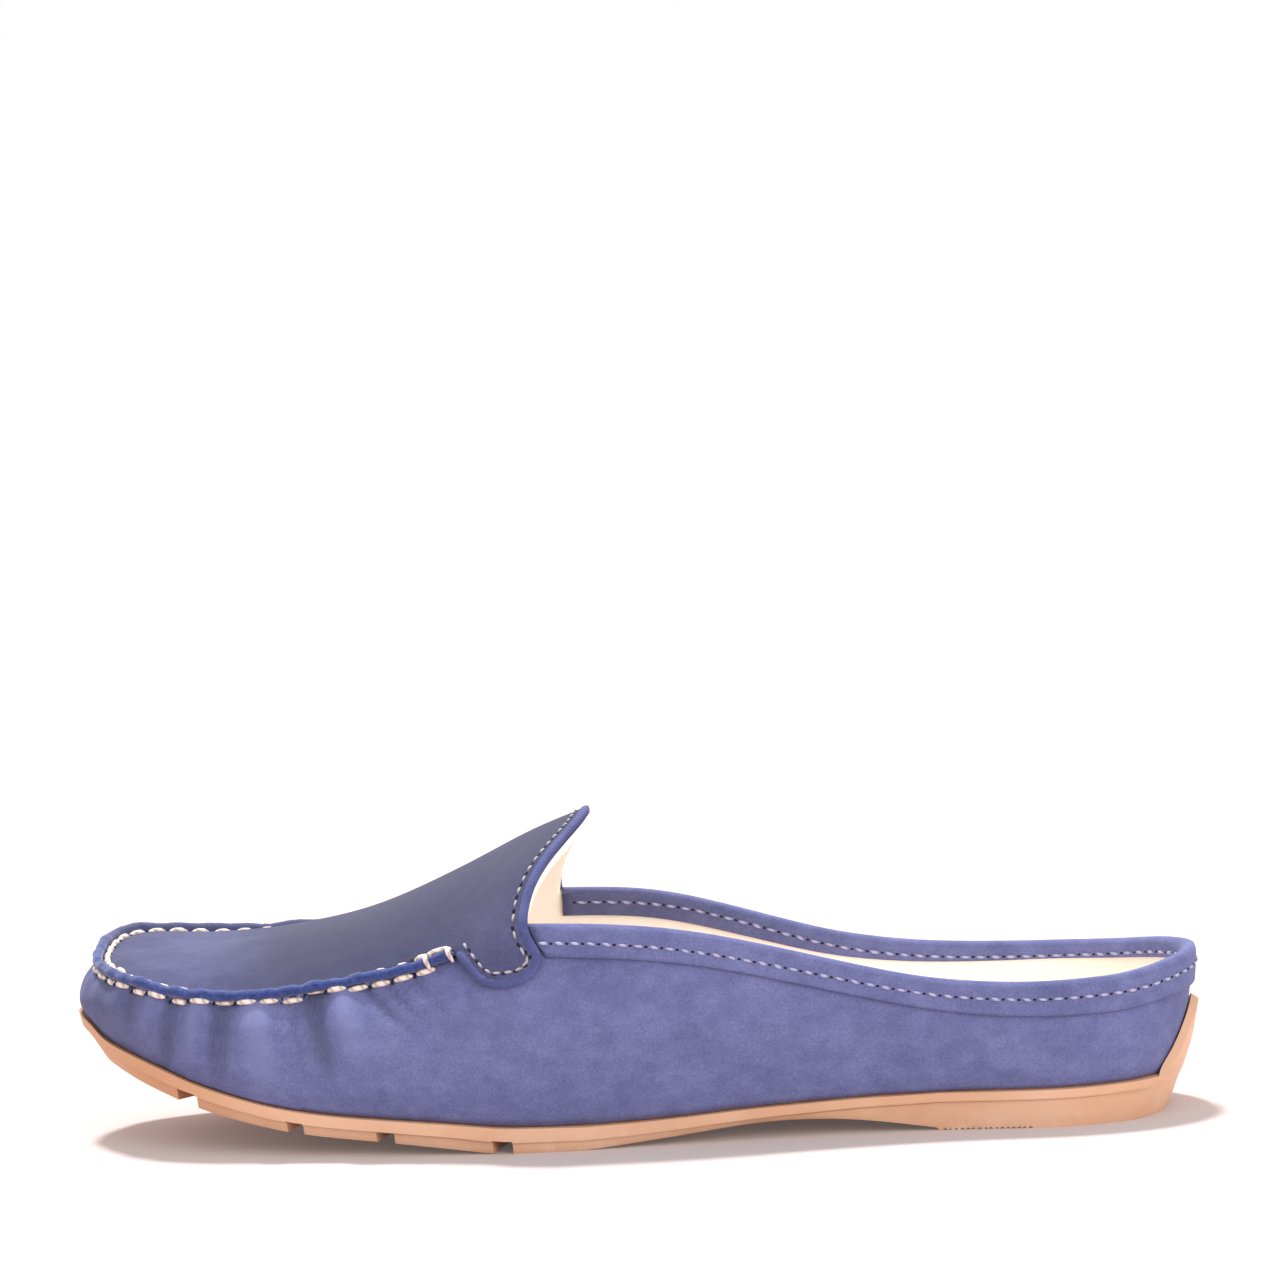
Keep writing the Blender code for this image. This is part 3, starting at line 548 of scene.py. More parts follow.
# Columns: place along the seam, how far it leans towards the toe for each millimetre down,
# half width, depth (a ridge above nought, a trough below), where it starts and ends below
# the seam, and how finely creased it is. All but the lean and the last in millimetres.
PUCKERS_END = -0.015
PUCKERS = (
    (12.2, -0.60, 1.3, -0.30, 2.0, 20.0, 0.8),
    (16.1, -0.70, 1.5, 0.25, 2.0, 19.0, 0.5),
    (19.1, -0.75, 1.2, -0.36, 1.0, 19.0, 0.9),
    (24.1, -0.75, 1.5, -0.75, 0.5, 19.0, 0.7),
    (29.2, -0.15, 3.2, 1.00, 1.0, 27.0, 0.0),
    (35.6, -0.10, 2.8, -1.20, 0.5, 28.0, 1.0),
    (40.6, -0.06, 2.2, -0.40, 0.5, 26.0, 1.0),
    (44.3, -0.05, 1.5, -0.15, 0.5, 20.0, 0.8),
    (49.4, -0.03, 3.4, 1.10, 0.5, 27.0, 0.0),
    (57.0, 0.00, 2.7, -1.10, 0.5, 26.0, 1.0),
    (62.8, 0.02, 2.4, 0.80, 0.5, 23.0, 0.1),
    (68.4, 0.05, 2.5, -0.95, 0.5, 22.0, 1.0),
    (73.9, 0.08, 2.5, 0.60, 0.5, 17.0, 0.1),
    (79.2, 0.10, 2.2, -0.60, 0.5, 16.0, 0.7),
    (84.6, 0.08, 2.2, 0.38, 0.5, 13.0, 0.0),
    (89.6, 0.05, 1.9, -0.42, 0.5, 12.0, 0.5),
    (97.0, 0.00, 2.0, -0.30, 0.5, 10.0, 0.3),
    (106.6, 0.00, 2.2, 0.25, 0.5, 10.0, 0.0),
    (115.6, 0.00, 1.9, -0.30, 0.5, 11.0, 0.3),
    (123.6, -0.05, 2.0, 0.35, 0.5, 12.0, 0.0),
    (130.1, -0.05, 2.1, -0.50, 0.5, 15.0, 0.7),
    (136.1, -0.04, 2.4, 0.55, 0.5, 18.0, 0.0),
    (142.6, -0.02, 2.3, -0.75, 0.5, 21.0, 0.9),
    (149.6, 0.00, 2.9, 0.85, 0.5, 24.0, 0.0),
    (157.1, 0.03, 2.5, -0.95, 0.5, 26.0, 1.0),
    (164.1, 0.05, 2.9, 0.90, 0.5, 26.0, 0.0),
    (171.6, 0.08, 2.6, -1.05, 0.5, 26.0, 1.0),
    (179.1, 0.12, 3.0, 0.85, 0.5, 25.0, 0.0),
    (186.6, 0.50, 1.6, -0.60, 0.5, 19.0, 0.8),
    (194.6, 0.65, 1.4, -0.40, 1.0, 18.0, 0.8),
)
# Beside the raised seam the apron is pulled down into a soft trough.
DIP_DEPTH = 1.1 * MM
DIP_REACH = 8.0 * MM
DIP_WALL_SHARE = 0.12
# The band below the seam that has finer faces for the puckers, and the share of a pucker's
# length over which it fades out.
FINE_BAND = (-1 * MM, 26 * MM)
FADE_SHARE = 0.60
# Fine creases near the seam, and how far down they fade.
SEAM_CREASES = 0.25
SEAM_CREASES_FADE = 10 * MM


def dip(drop):
    """How far the leather above the seam is pulled down, from its place below the seam."""
    away = -drop / DIP_REACH
    if away <= 0.0 or away >= 1.0:
        return 0.0
    return DIP_DEPTH * min(away / DIP_WALL_SHARE, 1.0) * (1 - away) ** 2 * (1 + 2 * away)


def outer_faces(start, angle):
    """The faces that can be walked to from a face without crossing a sharp edge."""
    found = {start}
    to_visit = [start]
    while to_visit:
        face = to_visit.pop()
        for edge in face.edges:
            if len(edge.link_faces) != 2 or edge.calc_face_angle(0.0) > math.radians(angle):
                continue
            for other in edge.link_faces:
                if other not in found:
                    found.add(other)
                    to_visit.append(other)
    return found


def below_seam(track, tree, point):
    """How far along the seam a point lies and how far below it; above it is negative."""
    nearest = tree.find(point)[1]
    away = np.array(point) - track.points[nearest]
    forward = float(away @ track.along[nearest])
    sideways = float(away @ track.across[nearest])
    drop = math.sqrt(max(float(away @ away) - forward * forward, 0.0))
    return track.run[nearest] + forward, -math.copysign(drop, sideways)


def pucker_at(run, drop):
    """How far the puckers lift a spot of the leather, in metres, and how creased it is."""
    height = 0.0
    creases = SEAM_CREASES * math.exp(-drop / SEAM_CREASES_FADE)
    down = drop / MM
    for place, lean, width, depth, start, end, lines in PUCKERS:
        across = (run / MM - place - lean * down) / width
        if abs(across) > 3:
            continue
        into = min(max(down / max(start, 0.01), 0.0), 1.0)
        left = min(max((end - down) / (end * FADE_SHARE), 0.0), 1.0)
        weight = math.exp(-across * across) * into * left * left * (3 - 2 * left)
        height += depth * MM * weight
        creases = max(creases, lines * weight)
    pinch = 0.5 + 0.5 * math.cos(2 * math.pi * run / STITCH_PITCH)
    height -= GATHER_DEPTH * pinch**3 * math.exp(-drop / GATHER_REACH)
    return height, creases


def make_upper():
    mesh = merged_copy("upper")
    keep_edges(mesh, UPPER_CRISP)
    toe = min(mesh.faces, key=lambda f: f.calc_center_median().x)
    outside = outer_faces(toe, UPPER_CRISP)
    for face in mesh.faces:
        face.material_index = 0 if face in outside else 1
    mesh = smoothed(mesh, 2)
    track = make_seam_track(BVHTree.FromBMesh(mesh))
    tree = seam_tree(track)
    fine = []
    for face in mesh.faces:
        if face.material_index == 0:
            middle = face.calc_center_median()
            drop = below_seam(track, tree, middle)[1]
            if FINE_BAND[0] < drop < FINE_BAND[1] and middle.x < PUCKERS_END:
                fine.append(face)
    edges = {edge for face in fine for edge in face.edges}
    bmesh.ops.subdivide_edges(mesh, edges=list(edges), cuts=1, smooth=1.0, use_grid_fill=True)
    mesh.normal_update()
    runs = mesh.verts.layers.float.new("seam_run")
    drops = mesh.verts.layers.float.new("seam_drop")
    creased = mesh.verts.layers.float.new("creased")
    wear_light_and_shade = mesh.verts.layers.float.new("wear_light_and_shade")
    moves = []
    for vert in mesh.verts:
        if any(face.material_index for face in vert.link_faces):
            continue
        run, drop = below_seam(track, tree, vert.co)
        vert[runs] = run / MM
        vert[drops] = drop / MM
        if drop < 0:
            moves.append((vert, -dip(drop)))
            continue
        height, vert[creased] = pucker_at(run, drop)
        # The pucker height, kept for the finish: it paints the ridges lighter (rubbed nap and
        # painted light) and the troughs darker (painted shade).
        vert[wear_light_and_shade] = height / MM
        moves.append((vert, height))
    for vert, height in moves:
        vert.co += vert.normal * height
    skin = BVHTree.FromBMesh(mesh)
    settle(make_piece("nubuck_upper", mesh, [SUEDE, LINING]), "nubuck", "upper")
    return track, tree, skin


SEAM, SEAM_TREE, UPPER_SKIN = make_upper()


# The apron and tongue: one piece of the same nubuck over the instep, with a saddle ear
# down each side. It lies on the upper and is held by the hand seam and by its own rim.
APRON_CRISP = 60
APRON_FINE_TO = -0.040
APRON_TINT = (0.61, 0.59, 0.58)
APRON_SUEDE = make_nubuck("apron_nubuck", APRON_TINT)


def rim_of_outside(mesh):
    """The loop of points round the apron's outer face, and the way out of it at each."""
    rim = []
    for edge in mesh.edges:
        if len(edge.link_faces) == 2:
            if sorted(face.material_index for face in edge.link_faces) == [0, 1]:
                rim.append(edge)
    loop = [rim[0].verts[0], rim[0].verts[1]]
    left = set(rim[1:])
    while left:
        ahead = [edge for edge in loop[-1].link_edges if edge in left]
        if not ahead:
            break
        left.discard(ahead[0])
        loop.append(ahead[0].other_vert(loop[-1]))
    points = []
    outs = []
    for vert in loop:
        faces = [face for face in vert.link_faces if face.material_index == 0]
        points.append(vert.co.copy())
        outs.append(sum((face.normal for face in faces), Vector()).normalized())
    return points, outs


def make_apron():
    mesh = merged_copy("apron")
    keep_edges(mesh, APRON_CRISP)
    top = max(mesh.faces, key=lambda f: f.calc_center_median().z * f.normal.z)
    outside = outer_faces(top, APRON_CRISP)
    for face in mesh.faces:
        face.material_index = 0 if face in outside else 1
    mesh = smoothed(mesh, 2)
    points, outs = rim_of_outside(mesh)
    for face in mesh.faces:
        face.material_index = 0
    bmesh.ops.subdivide_edges(
        mesh, edges=[e for e in mesh.edges if e.verts[0].co.x < APRON_FINE_TO],
        cuts=1, smooth=1.0, use_grid_fill=True,
    )
    mesh.normal_update()
    for vert in mesh.verts:
        run, drop = below_seam(SEAM, SEAM_TREE, vert.co)
        if drop < 0 and vert.co.x < APRON_FINE_TO:
            vert.co.z -= dip(drop)
    mesh.normal_update()
    # Painted shade: how far each point faces up; the nubuck finish darkens faces that look up by it.
    facing = mesh.verts.layers.float.new("facing_up")
    for vert in mesh.verts:
        vert[facing] = max(vert.normal.z, 0.0)
    surface = BVHTree.FromBMesh(mesh)
    settle(make_piece("apron_and_ears", mesh, [APRON_SUEDE]), "nubuck", "apron")
    return surface, points, outs


APRON, APRON_LOOP, APRON_OUTS = make_apron()


# The raised seam: the raw edges of apron and vamp stand up together, whipped with thick
# waxed thread. The cut edge is a stronger blue than the nap, and fuzzy.
BEAD_HALF_WIDTH = 1.25 * MM
BEAD_HALF_HEIGHT = 1.45 * MM
BEAD_LIFT = 1.65 * MM
BEAD_RING_STEP = 0.45 * MM
BEAD_FUZZ = 0.16 * MM
BEAD_FOOT = 1.5 * MM
ROLL_SIDES = 14
PAST_TOE_FROM = 108.0
PAST_TOE_OVER = 14.0
EDGE_BLUE = (0.040, 0.065, 0.235)
EDGE_LIGHT = (0.090, 0.125, 0.340)
EDGE_DARK = (0.018, 0.028, 0.115)
# The dark colour at the bead's foot: painted shade where it meets the leather.
EDGE_FOOT_SHADE = (0.040, 0.022, 0.035)
EDGE_MAUVE = (0.080, 0.078, 0.150)
# Thread colours: its light tone, and the painted shade in the grooves between the plies.
THREAD = (0.800, 0.690, 0.610)
THREAD_SHADE = (0.520, 0.400, 0.340)
# The near-black of painted shade in the needle holes.
HOLE_SHADE = (0.016, 0.012, 0.022)


def make_raw_edge():
    raw = Finish("raw_suede_edge", {
        "Roughness": 0.95, "Specular IOR Level": 0.15, "Sheen Weight": 0.35,
    })
    mottle = raw.grain(700.0, 5.0, 0.7)
    fibre = raw.grain(3500.0, 4.0, 0.75)
    tone = mottle * 0.55 + fibre * 0.45
    base = raw.blend(raw.stepped(tone, 0.34, 0.60), EDGE_DARK, EDGE_BLUE)
    lit = raw.blend(raw.stepped(tone, 0.52, 0.72), base, EDGE_LIGHT)
    lit = raw.blend(raw.painted("inner_side") * 0.75, lit, EDGE_MAUVE)
    # Painted shade: darker towards the bead's foot.
    raw.colour(raw.blend(raw.stepped(raw.painted("foot"), -0.35, 0.4), lit, EDGE_FOOT_SHADE))
    raw.relief(tone, 0.00022)
    return raw


def make_thread(name, light, shade):
    thread = Finish(name, {"Roughness": 0.6, "Specular IOR Level": 0.35, "Sheen Weight": 0.2})
    twist = thread.painted("twist")
    ply = thread.wave(twist)
    tone = ply * 0.6 + thread.grain(1800.0, 3.0) * 0.4
    # Darker in the grooves of the twist: painted shade between the plies, with a random tone.
    thread.colour(thread.blend(thread.stepped(tone, 0.25, 0.60), shade, light))
    thread.relief(tone, 0.00008)
    return thread


RAW_EDGE = make_raw_edge()
CREAM_THREAD = make_thread("cream_waxed_thread", THREAD, THREAD_SHADE)


def swept(rings, sides, place):
    """A closed tube: place(share along, turn) gives each point of its skin."""
    mesh = bmesh.new()
    bmesh.ops.create_grid(mesh, x_segments=rings, y_segments=sides, size=1.0)
    for vert in mesh.verts:
        ring = round((vert.co.x + 1) / 2 * rings)
        side = round((vert.co.y + 1) / 2 * sides) % sides
        vert.co = place(ring / rings, 2 * math.pi * side / sides)
    bmesh.ops.remove_doubles(mesh, verts=mesh.verts, dist=1e-6)
    bmesh.ops.holes_fill(mesh, edges=[e for e in mesh.edges if e.is_boundary], sides=0)
    bmesh.ops.recalc_face_normals(mesh, faces=mesh.faces)
    return mesh


def past_toe(run):
    """From 0 on the outer side to 1 where the seam has come round the toe."""
    return min(max((run / MM - PAST_TOE_FROM) / PAST_TOE_OVER, 0.0), 1.0)


def make_bead():
    length = SEAM.run[-1]

    def place(share, turn):
        run = share * length
        point, along, out, across = SEAM.at(run)
        pinch = 0.5 + 0.5 * math.cos(2 * math.pi * run / STITCH_PITCH)
        wander = noise.noise(Vector((run / MM * 0.16, 0.0, 3.1)))
        flutter = noise.noise(Vector((run / MM * 0.75, math.cos(turn), math.sin(turn))))
        far = past_toe(run)
        swell = 1.0 - 0.11 * pinch * (1 - far) + (0.10 - 0.05 * far) * flutter + 0.12 * far
        ending = min(run, length - run) / (1.6 * MM)
        swell *= math.sqrt(min(max(ending, 0.02), 1.0))
        lean = 0.22 * wander * MM
        rise = 0.55 * wander - 0.12 * pinch * (1 - far) + 0.25 * far
        middle = point + out * (BEAD_LIFT + rise * MM) + across * lean
        flat = 1.0 - 0.12 * max(math.sin(turn), 0.0) ** 4
        reach = across * (math.cos(turn) * BEAD_HALF_WIDTH * swell)
        return middle + reach + out * (math.sin(turn) * BEAD_HALF_HEIGHT * swell * flat)

    mesh = swept(int(length / BEAD_RING_STEP), ROLL_SIDES, place)
    foot = mesh.verts.layers.float.new("foot")
    inner_side = mesh.verts.layers.float.new("inner_side")
    for vert in mesh.verts:
        nearest = SEAM_TREE.find(vert.co)[1]
        away = vert.co - Vector(SEAM.points[nearest])
        vert[inner_side] = past_toe(SEAM.run[nearest])
        # High near the bead's foot, where the raw edge is painted dark as shade.
        vert[foot] = 1.0 - away.length / BEAD_FOOT
        fuzz = noise.noise(vert.co * 2600.0) * 0.5 + noise.noise(vert.co * 900.0) * 0.5
        vert.co += vert.normal * fuzz * BEAD_FUZZ
    settle(make_piece("raised_seam_edge", mesh, [RAW_EDGE]), "suede_edge", "apron_seam")


make_bead()


def stitch_into(
    mesh, twist, centre, along, out, half_length, half_width, half_height, sag=0.0, arch=0.0,
):
    """One stitch added to a mesh: a bent grain of thread that dives in at both ends."""
    made = bmesh.ops.create_uvsphere(mesh, u_segments=8, v_segments=7, radius=1.0)["verts"]
    across = along.cross(out)
    for vert in made:
        x, y, z = vert.co
        vert[twist] = z * half_length / MM * 3.2 + math.atan2(y, x)
        full = math.copysign(abs(z) ** 0.75, z)
        girth = math.sqrt(max(1.0 - abs(full) ** 3, 0.0)) / max(math.hypot(x, y), 1e-6)
        girth = girth if math.hypot(x, y) > 1e-4 else 0.0
        dive = full * full
        vert.co = (
            centre + along * (full * half_length) + across * (x * girth * half_width - sag * dive)
            + out * (y * girth * half_height - (half_height * 0.9 + arch) * dive)
        )
    return made


def new_stitches():
    mesh = bmesh.new()
    return mesh, mesh.verts.layers.float.new("twist")


def make_hole_shade_finish():
    hole = Finish("needle_hole_shade", {"Roughness": 0.9, "Specular IOR Level": 0.1})
    deep = hole.grain(900.0, 2.0)
    # Painted shade: the needle hole is a near-black disc on the leather.
    hole.colour(hole.blend(deep, HOLE_SHADE, (0.030, 0.028, 0.050)))
    return hole


HOLE_SHADE_FINISH = make_hole_shade_finish()


# The hand stitches: thick pale waxed thread in one row on the vamp and one on the apron,
# pulled into the leather at each end. At each ear two bars go over the seam, with a tie
# between them. Places and the low stretch are millimetres along the seam.
BARS = (0.9, 6.8, 205.2, 211.2)
BAR_TIES = (3.8, 208.2)
LOW_FROM, LOW_TO = 12.0, 84.0
BARRED_END = 8.0 * MM
HAND_THREAD_HALF = 0.76 * MM
HAND_STITCH_BEND = 0.42 * MM
# How far each row lies from the seam's middle, and how high on the leather: the vamp's, the
# apron's, and the apron's where it lies in the trough behind the seam.
VAMP_ROW = (1.55 * MM, 0.45 * MM)
APRON_ROW = (1.95 * MM, 0.40 * MM)
LOW_APRON_ROW = (1.25 * MM, -0.45 * MM)


def make_seam_stitches():
    chance = random.Random(11)
    mesh, twist = new_stitches()
    hole_shades, hole_twist = new_stitches()
    end = SEAM.run[-1]
    for side in (-1, 1):
        for number in range(int(end / STITCH_PITCH)):
            run = (number + 0.5) * STITCH_PITCH
            barred = min(run, end - run) < BARRED_END
            if side < 0 and barred:
                continue
            row, surface = VAMP_ROW, UPPER_SKIN
            if side > 0:
                low = LOW_FROM * MM < run < LOW_TO * MM
                row, surface = LOW_APRON_ROW if low else APRON_ROW, APRON
            spread, level = row
            point, along, out, across = SEAM.at(run)
            near = point + across * (side * spread) + out * 1.2 * MM
            spot, normal, _, _ = surface.find_nearest(near)
            if normal.dot(out) < 0:
                normal = -normal
            centre = spot + normal * level
            half = STITCH_PITCH * 0.5 * (0.91 + 0.05 * chance.uniform(-1, 1))
            turned = (along + across * chance.uniform(-0.07, 0.07)).normalized()
            turned = (turned - normal * turned.dot(normal)).normalized()
            thick = HAND_THREAD_HALF * (1 + 0.079 * chance.uniform(-1, 1))
            bend = HAND_STITCH_BEND * side
            stitch_into(mesh, twist, centre, turned, normal, half, thick, thick * 0.92, bend)
            # A dark disc at the stitch's end: painted shade in the needle hole.
            pinch = spot + along * (STITCH_PITCH / 2) + normal * 0.05 * MM
            stitch_into(hole_shades, hole_twist, pinch, across, normal, 0.75 * MM, 0.32 * MM, 0.2 * MM)
    for run in BAR_TIES:
        point, along, out, across = SEAM.at(run * MM)
        tie = point + across * 1.55 * MM + out * (BEAD_LIFT + 1.05 * MM)
        stitch_into(mesh, twist, tie, along, out, 2.9 * MM, 0.55 * MM, 0.50 * MM)
    for run in BARS:
        point, along, out, across = SEAM.at(run * MM)
        centre = point + out * (BEAD_LIFT + BEAD_HALF_HEIGHT + 0.25 * MM)
        lean = (across + along * 0.12).normalized()
        stitch_into(
            mesh, twist, centre, lean, out, 1.95 * MM, 0.62 * MM, 0.50 * MM, 0.0, 2.1 * MM
        )
    bmesh.ops.recalc_face_normals(mesh, faces=mesh.faces)
    bmesh.ops.recalc_face_normals(hole_shades, faces=hole_shades.faces)
    settle(make_piece("hand_stitches", mesh, [CREAM_THREAD]), "lining_leather")
    settle(make_piece("hand_stitch_hole_shades", hole_shades, [HOLE_SHADE_FINISH]), "nubuck")


make_seam_stitches()


# The rim of ears and tongue: the nubuck is turned over into a soft roll, painted a little
# lighter and bluer as a highlight, and sewn down just inside the roll with fine twisted thread.
RIM_HALF_WIDTH = 1.10 * MM
RIM_HALF_HEIGHT = 0.68 * MM
RIM_INSET = 0.90 * MM
RIM_SINK = 0.30 * MM
RIM_STITCH_INSET = 3.20 * MM
RIM_CLEAR_OF_SEAM = 2.9 * MM
RIM_RING_STEP = 0.7 * MM
# The rolled rim's tint: a painted highlight, a little lighter and bluer than the apron.
RIM_HIGHLIGHT_TINT = (0.58, 0.60, 0.72)
FINE_PITCH = 3.5 * MM
# Fine thread colours: light tones, and the painted shade between the plies.
FLECK = (0.360, 0.330, 0.350)
FLECK_SHADE = (0.140, 0.130, 0.180)
PALE_BLUE = (0.400, 0.375, 0.540)
PALE_BLUE_SHADE = (0.160, 0.160, 0.290)
RIM_HIGHLIGHT_SUEDE = make_nubuck("rim_highlight_nubuck", RIM_HIGHLIGHT_TINT)
FINE_THREAD = make_thread("grey_fine_thread", FLECK, FLECK_SHADE)
BLUE_THREAD = make_thread("pale_blue_thread", PALE_BLUE, PALE_BLUE_SHADE)


def make_rim_track():
    """The edge of ears and tongue: the stretch of the apron's loop that the seam leaves."""
    seam = [Vector(point) for point in SEAM.points[6:-6]]
    rows = []
    for point, out in zip(APRON_LOOP, APRON_OUTS):
        apart = min((point - other).length for other in seam[::4])
        rows.append((point, out, apart > RIM_CLEAR_OF_SEAM))
    start = next(i for i in range(len(rows)) if rows[i][2] and not rows[i - 1][2])
    rows = rows[start:] + rows[:start]
    kept = []
    for row in rows:
        if not row[2]:
            break
        kept.append(row)
    if kept[0][0].y > 0:
        kept.reverse()
    points = eased([row[0] for row in kept], 2)
    even = respaced(points, LINE_STEP)
    outs = []
    for point in even:
        nearest = min(kept, key=lambda row: (row[0] - Vector(point)).length)
        outs.append(nearest[1])
    return Track(even, eased(outs, 10))


RIM = make_rim_track()


def make_rim_roll():
    length = RIM.run[-1]
    middle_of_apron = Vector((cad_low.x + 90 * MM, 0.0, 0.0))
    point, _, _, across = RIM.at(length / 2)
    inward = 1.0 if (middle_of_apron - point).dot(across) > 0 else -1.0

    def place(share, turn):
        run = share * length
        point, along, out, across = RIM.at(run)
        across = across * inward
        wander = noise.noise(Vector((run / MM * 0.22, 5.0, 1.0)))
        ending = min(run, length - run) / (1.5 * MM)
        swell = (1.0 + 0.07 * wander) * math.sqrt(min(max(ending, 0.02), 1.0))
        middle = point + across * RIM_INSET - out * RIM_SINK
        reach = across * (math.cos(turn) * RIM_HALF_WIDTH * swell)
        return middle + reach + out * (math.sin(turn) * RIM_HALF_HEIGHT * swell)

    mesh = swept(int(length / RIM_RING_STEP), ROLL_SIDES, place)
    settle(make_piece("rolled_rim", mesh, [RIM_HIGHLIGHT_SUEDE]), "nubuck")
    return inward


INWARD = make_rim_roll()


def sew_row(name, rows, finish, half_length, half_width, hole, seed):
    """A row of fine stitches with a dark disc of painted needle-hole shade at each end, on spots of
    a surface.
    """
    chance = random.Random(seed)
    mesh, twist = new_stitches()
    hole_shades, hole_twist = new_stitches()
    for spot, along, normal in rows:
        skew = along.cross(normal) * chance.uniform(-0.12, 0.12)
        turned = (along + skew).normalized()
        wide = half_width * (1 + 0.12 * chance.uniform(-1, 1))
        long = half_length * (1 + 0.08 * chance.uniform(-1, 1))
        raised = spot + normal * 0.15 * MM
        stitch_into(mesh, twist, raised, turned, normal, long, wide, wide * 0.8)
        # A dark disc at the stitch's end: painted shade in the needle hole.
        end = spot + along * (FINE_PITCH / 2) + normal * 0.02 * MM
        stitch_into(hole_shades, hole_twist, end, turned, normal, hole, hole * 0.56, 0.14 * MM)
    for made, part, look in ((mesh, name, finish), (hole_shades, name + "_hole_shades", HOLE_SHADE_FINISH)):
        bmesh.ops.recalc_face_normals(made, faces=made.faces)
        settle(make_piece(part, made, [look]), "nubuck")


def rows_along(track, inset, surface, pitch, start, end):
    rows = []
    run = start
    while run < end:
        point, along, out, across = track.at(run)
        spot, normal, _, _ = surface.find_nearest(point + across * inset + out * 0.2 * MM)
        if normal.dot(out) < 0:
            normal = -normal
        level = (along - normal * along.dot(normal)).normalized()
        rows.append((spot, level, normal))
        run += pitch
    return rows


sew_row(
    "rim_stitches",
    rows_along(RIM, INWARD * RIM_STITCH_INSET, APRON, FINE_PITCH, 1 * MM, RIM.run[-1] - 1 * MM),
    FINE_THREAD, 1.10 * MM, 0.33 * MM, 0.66 * MM, 23,
)


# The topline binding: a strip of the same nubuck folded over the edge from ear to ear
# round the heel, sewn through with one row of pale blue thread.
OUTER_STITCH_DROP = 4.0 * MM
INNER_STITCH_DROP = 3.6 * MM
BINDING_PITCH = 3.6 * MM
BINDING_CRISP = 72
COLLAR_CENTRE = np.array((cad_low.x + 178 * MM, 0.0))
COLLAR_CUTS = 721
STITCH_PROBE_AWAY = 9 * MM
STITCH_PROBE_REACH = 14 * MM
# The inner side of the strip is in shade under the tongue, less and less towards the heel.
BINDING_SHADE = 0.9
BINDING_SHADE_END = 0.070
BINDING_SHADE_LENGTH = 0.080


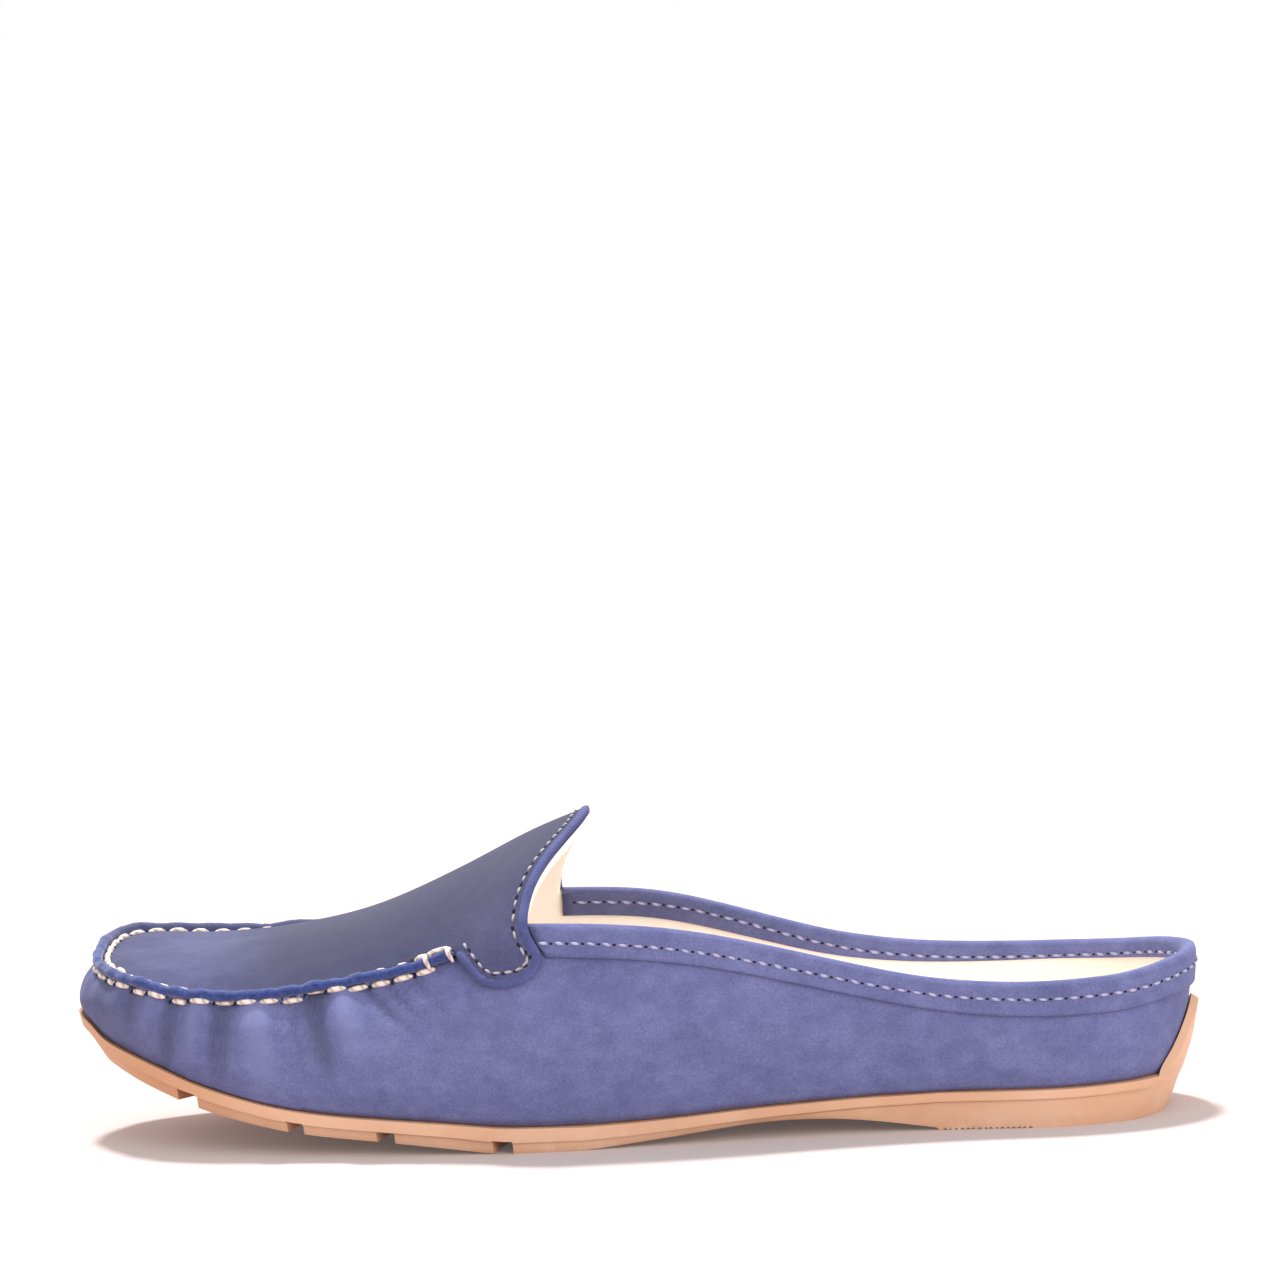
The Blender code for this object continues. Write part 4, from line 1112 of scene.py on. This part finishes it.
def make_binding():
    mesh = merged_copy("topline_binding")
    keep_edges(mesh, BINDING_CRISP)
    mesh = smoothed(mesh, 2)
    surface = BVHTree.FromBMesh(mesh)
    centre = COLLAR_CENTRE
    crest = []
    for cut in sections(mesh, centre, np.linspace(-math.pi, math.pi, COLLAR_CUTS)):
        if len(cut) >= 8:
            crest.append(cut[np.argmax(cut[:, 2])])
    # The shade of the strip's inner side is painted into the nubuck's colour through this value.
    shaded = mesh.verts.layers.float.new("wear_light_and_shade")
    for vert in mesh.verts:
        inner = -vert.normal.dot(Vector((0.0, math.copysign(1.0, vert.co.y), 0.0)))
        front = (BINDING_SHADE_END - vert.co.x) / BINDING_SHADE_LENGTH
        vert[shaded] = -BINDING_SHADE * min(max(inner, 0.0), 1.0) * min(max(front, 0.0), 1.0)
    settle(make_piece("folded_binding", mesh, [SUEDE]), "nubuck", "topline_binding")
    top = respaced(eased(crest, 4), LINE_STEP)
    for name, sign, drop, seed in (
        ("topline_stitches", 1.0, OUTER_STITCH_DROP, 31),
        ("topline_inner_stitches", -1.0, INNER_STITCH_DROP, 37),
    ):
        spots = []
        for point in top:
            away = Vector((point[0] - centre[0], point[1] - centre[1], 0.0)).normalized()
            start = Vector(point) + away * (sign * STITCH_PROBE_AWAY) - Vector((0, 0, drop))
            spot, normal, _, _ = surface.ray_cast(start, away * -sign, STITCH_PROBE_REACH)
            if spot:
                spots.append((spot, normal))
        line = eased([spot for spot, _ in spots], 6)
        track = Track(line, eased([normal for _, normal in spots], 6))
        rows = rows_along(track, 0.0, surface, BINDING_PITCH, 1.5 * MM, track.run[-1] - 1.0 * MM)
        sew_row(name, rows, BLUE_THREAD, 1.30 * MM, 0.36 * MM, 0.48 * MM, seed)


make_binding()


# The floor is a plain pale sheet that runs out of the picture. The light is soft: a white
# room, a lamp high up behind the shoe that throws its shadow towards the camera, and a wide
# weak one in front on the heel side.
FLOOR = (0.540, 0.460, 0.445)
FLOOR_GLOW = 0.06
SUN_POWER = 4.3
SUN_ANGLE = math.radians(7)
SUN_FROM = Vector((-0.14, 0.40, 1.0))
FILL_POWER = 20.0
FILL_PLACE = Vector((1.3, -1.7, 0.8))


def make_stage():
    mesh = bmesh.new()
    bmesh.ops.create_grid(mesh, x_segments=1, y_segments=1, size=60.0)
    paper = Finish("pale_floor", {
        "Roughness": 0.9, "Specular IOR Level": 0.1, "Base Color": (*FLOOR, 1.0),
        "Emission Color": (1.0, 1.0, 1.0, 1.0), "Emission Strength": FLOOR_GLOW,
    })
    make_piece("floor", mesh, [paper], smooth=False)
    world = bpy.data.worlds.new("white_room")
    world.use_nodes = True
    world.node_tree.nodes["Background"].inputs["Color"].default_value = (1.0, 1.0, 1.0, 1.0)
    world.node_tree.nodes["Background"].inputs["Strength"].default_value = 1.0
    bpy.context.scene.world = world
    lamp = bpy.data.lights.new("high_lamp", "SUN")
    lamp.energy = SUN_POWER
    lamp.angle = SUN_ANGLE
    light = bpy.data.objects.new("high_lamp", lamp)
    bpy.context.collection.objects.link(light)
    light.rotation_euler = SUN_FROM.to_track_quat("Z", "Y").to_euler()
    lamp = bpy.data.lights.new("wide_front_lamp", "AREA")
    lamp.shape = "DISK"
    lamp.size = 1.5
    lamp.energy = FILL_POWER
    light = bpy.data.objects.new("wide_front_lamp", lamp)
    bpy.context.collection.objects.link(light)
    light.location = FILL_PLACE
    light.rotation_euler = FILL_PLACE.to_track_quat("Z", "Y").to_euler()
    bpy.context.scene.view_settings.view_transform = "Standard"


make_stage()
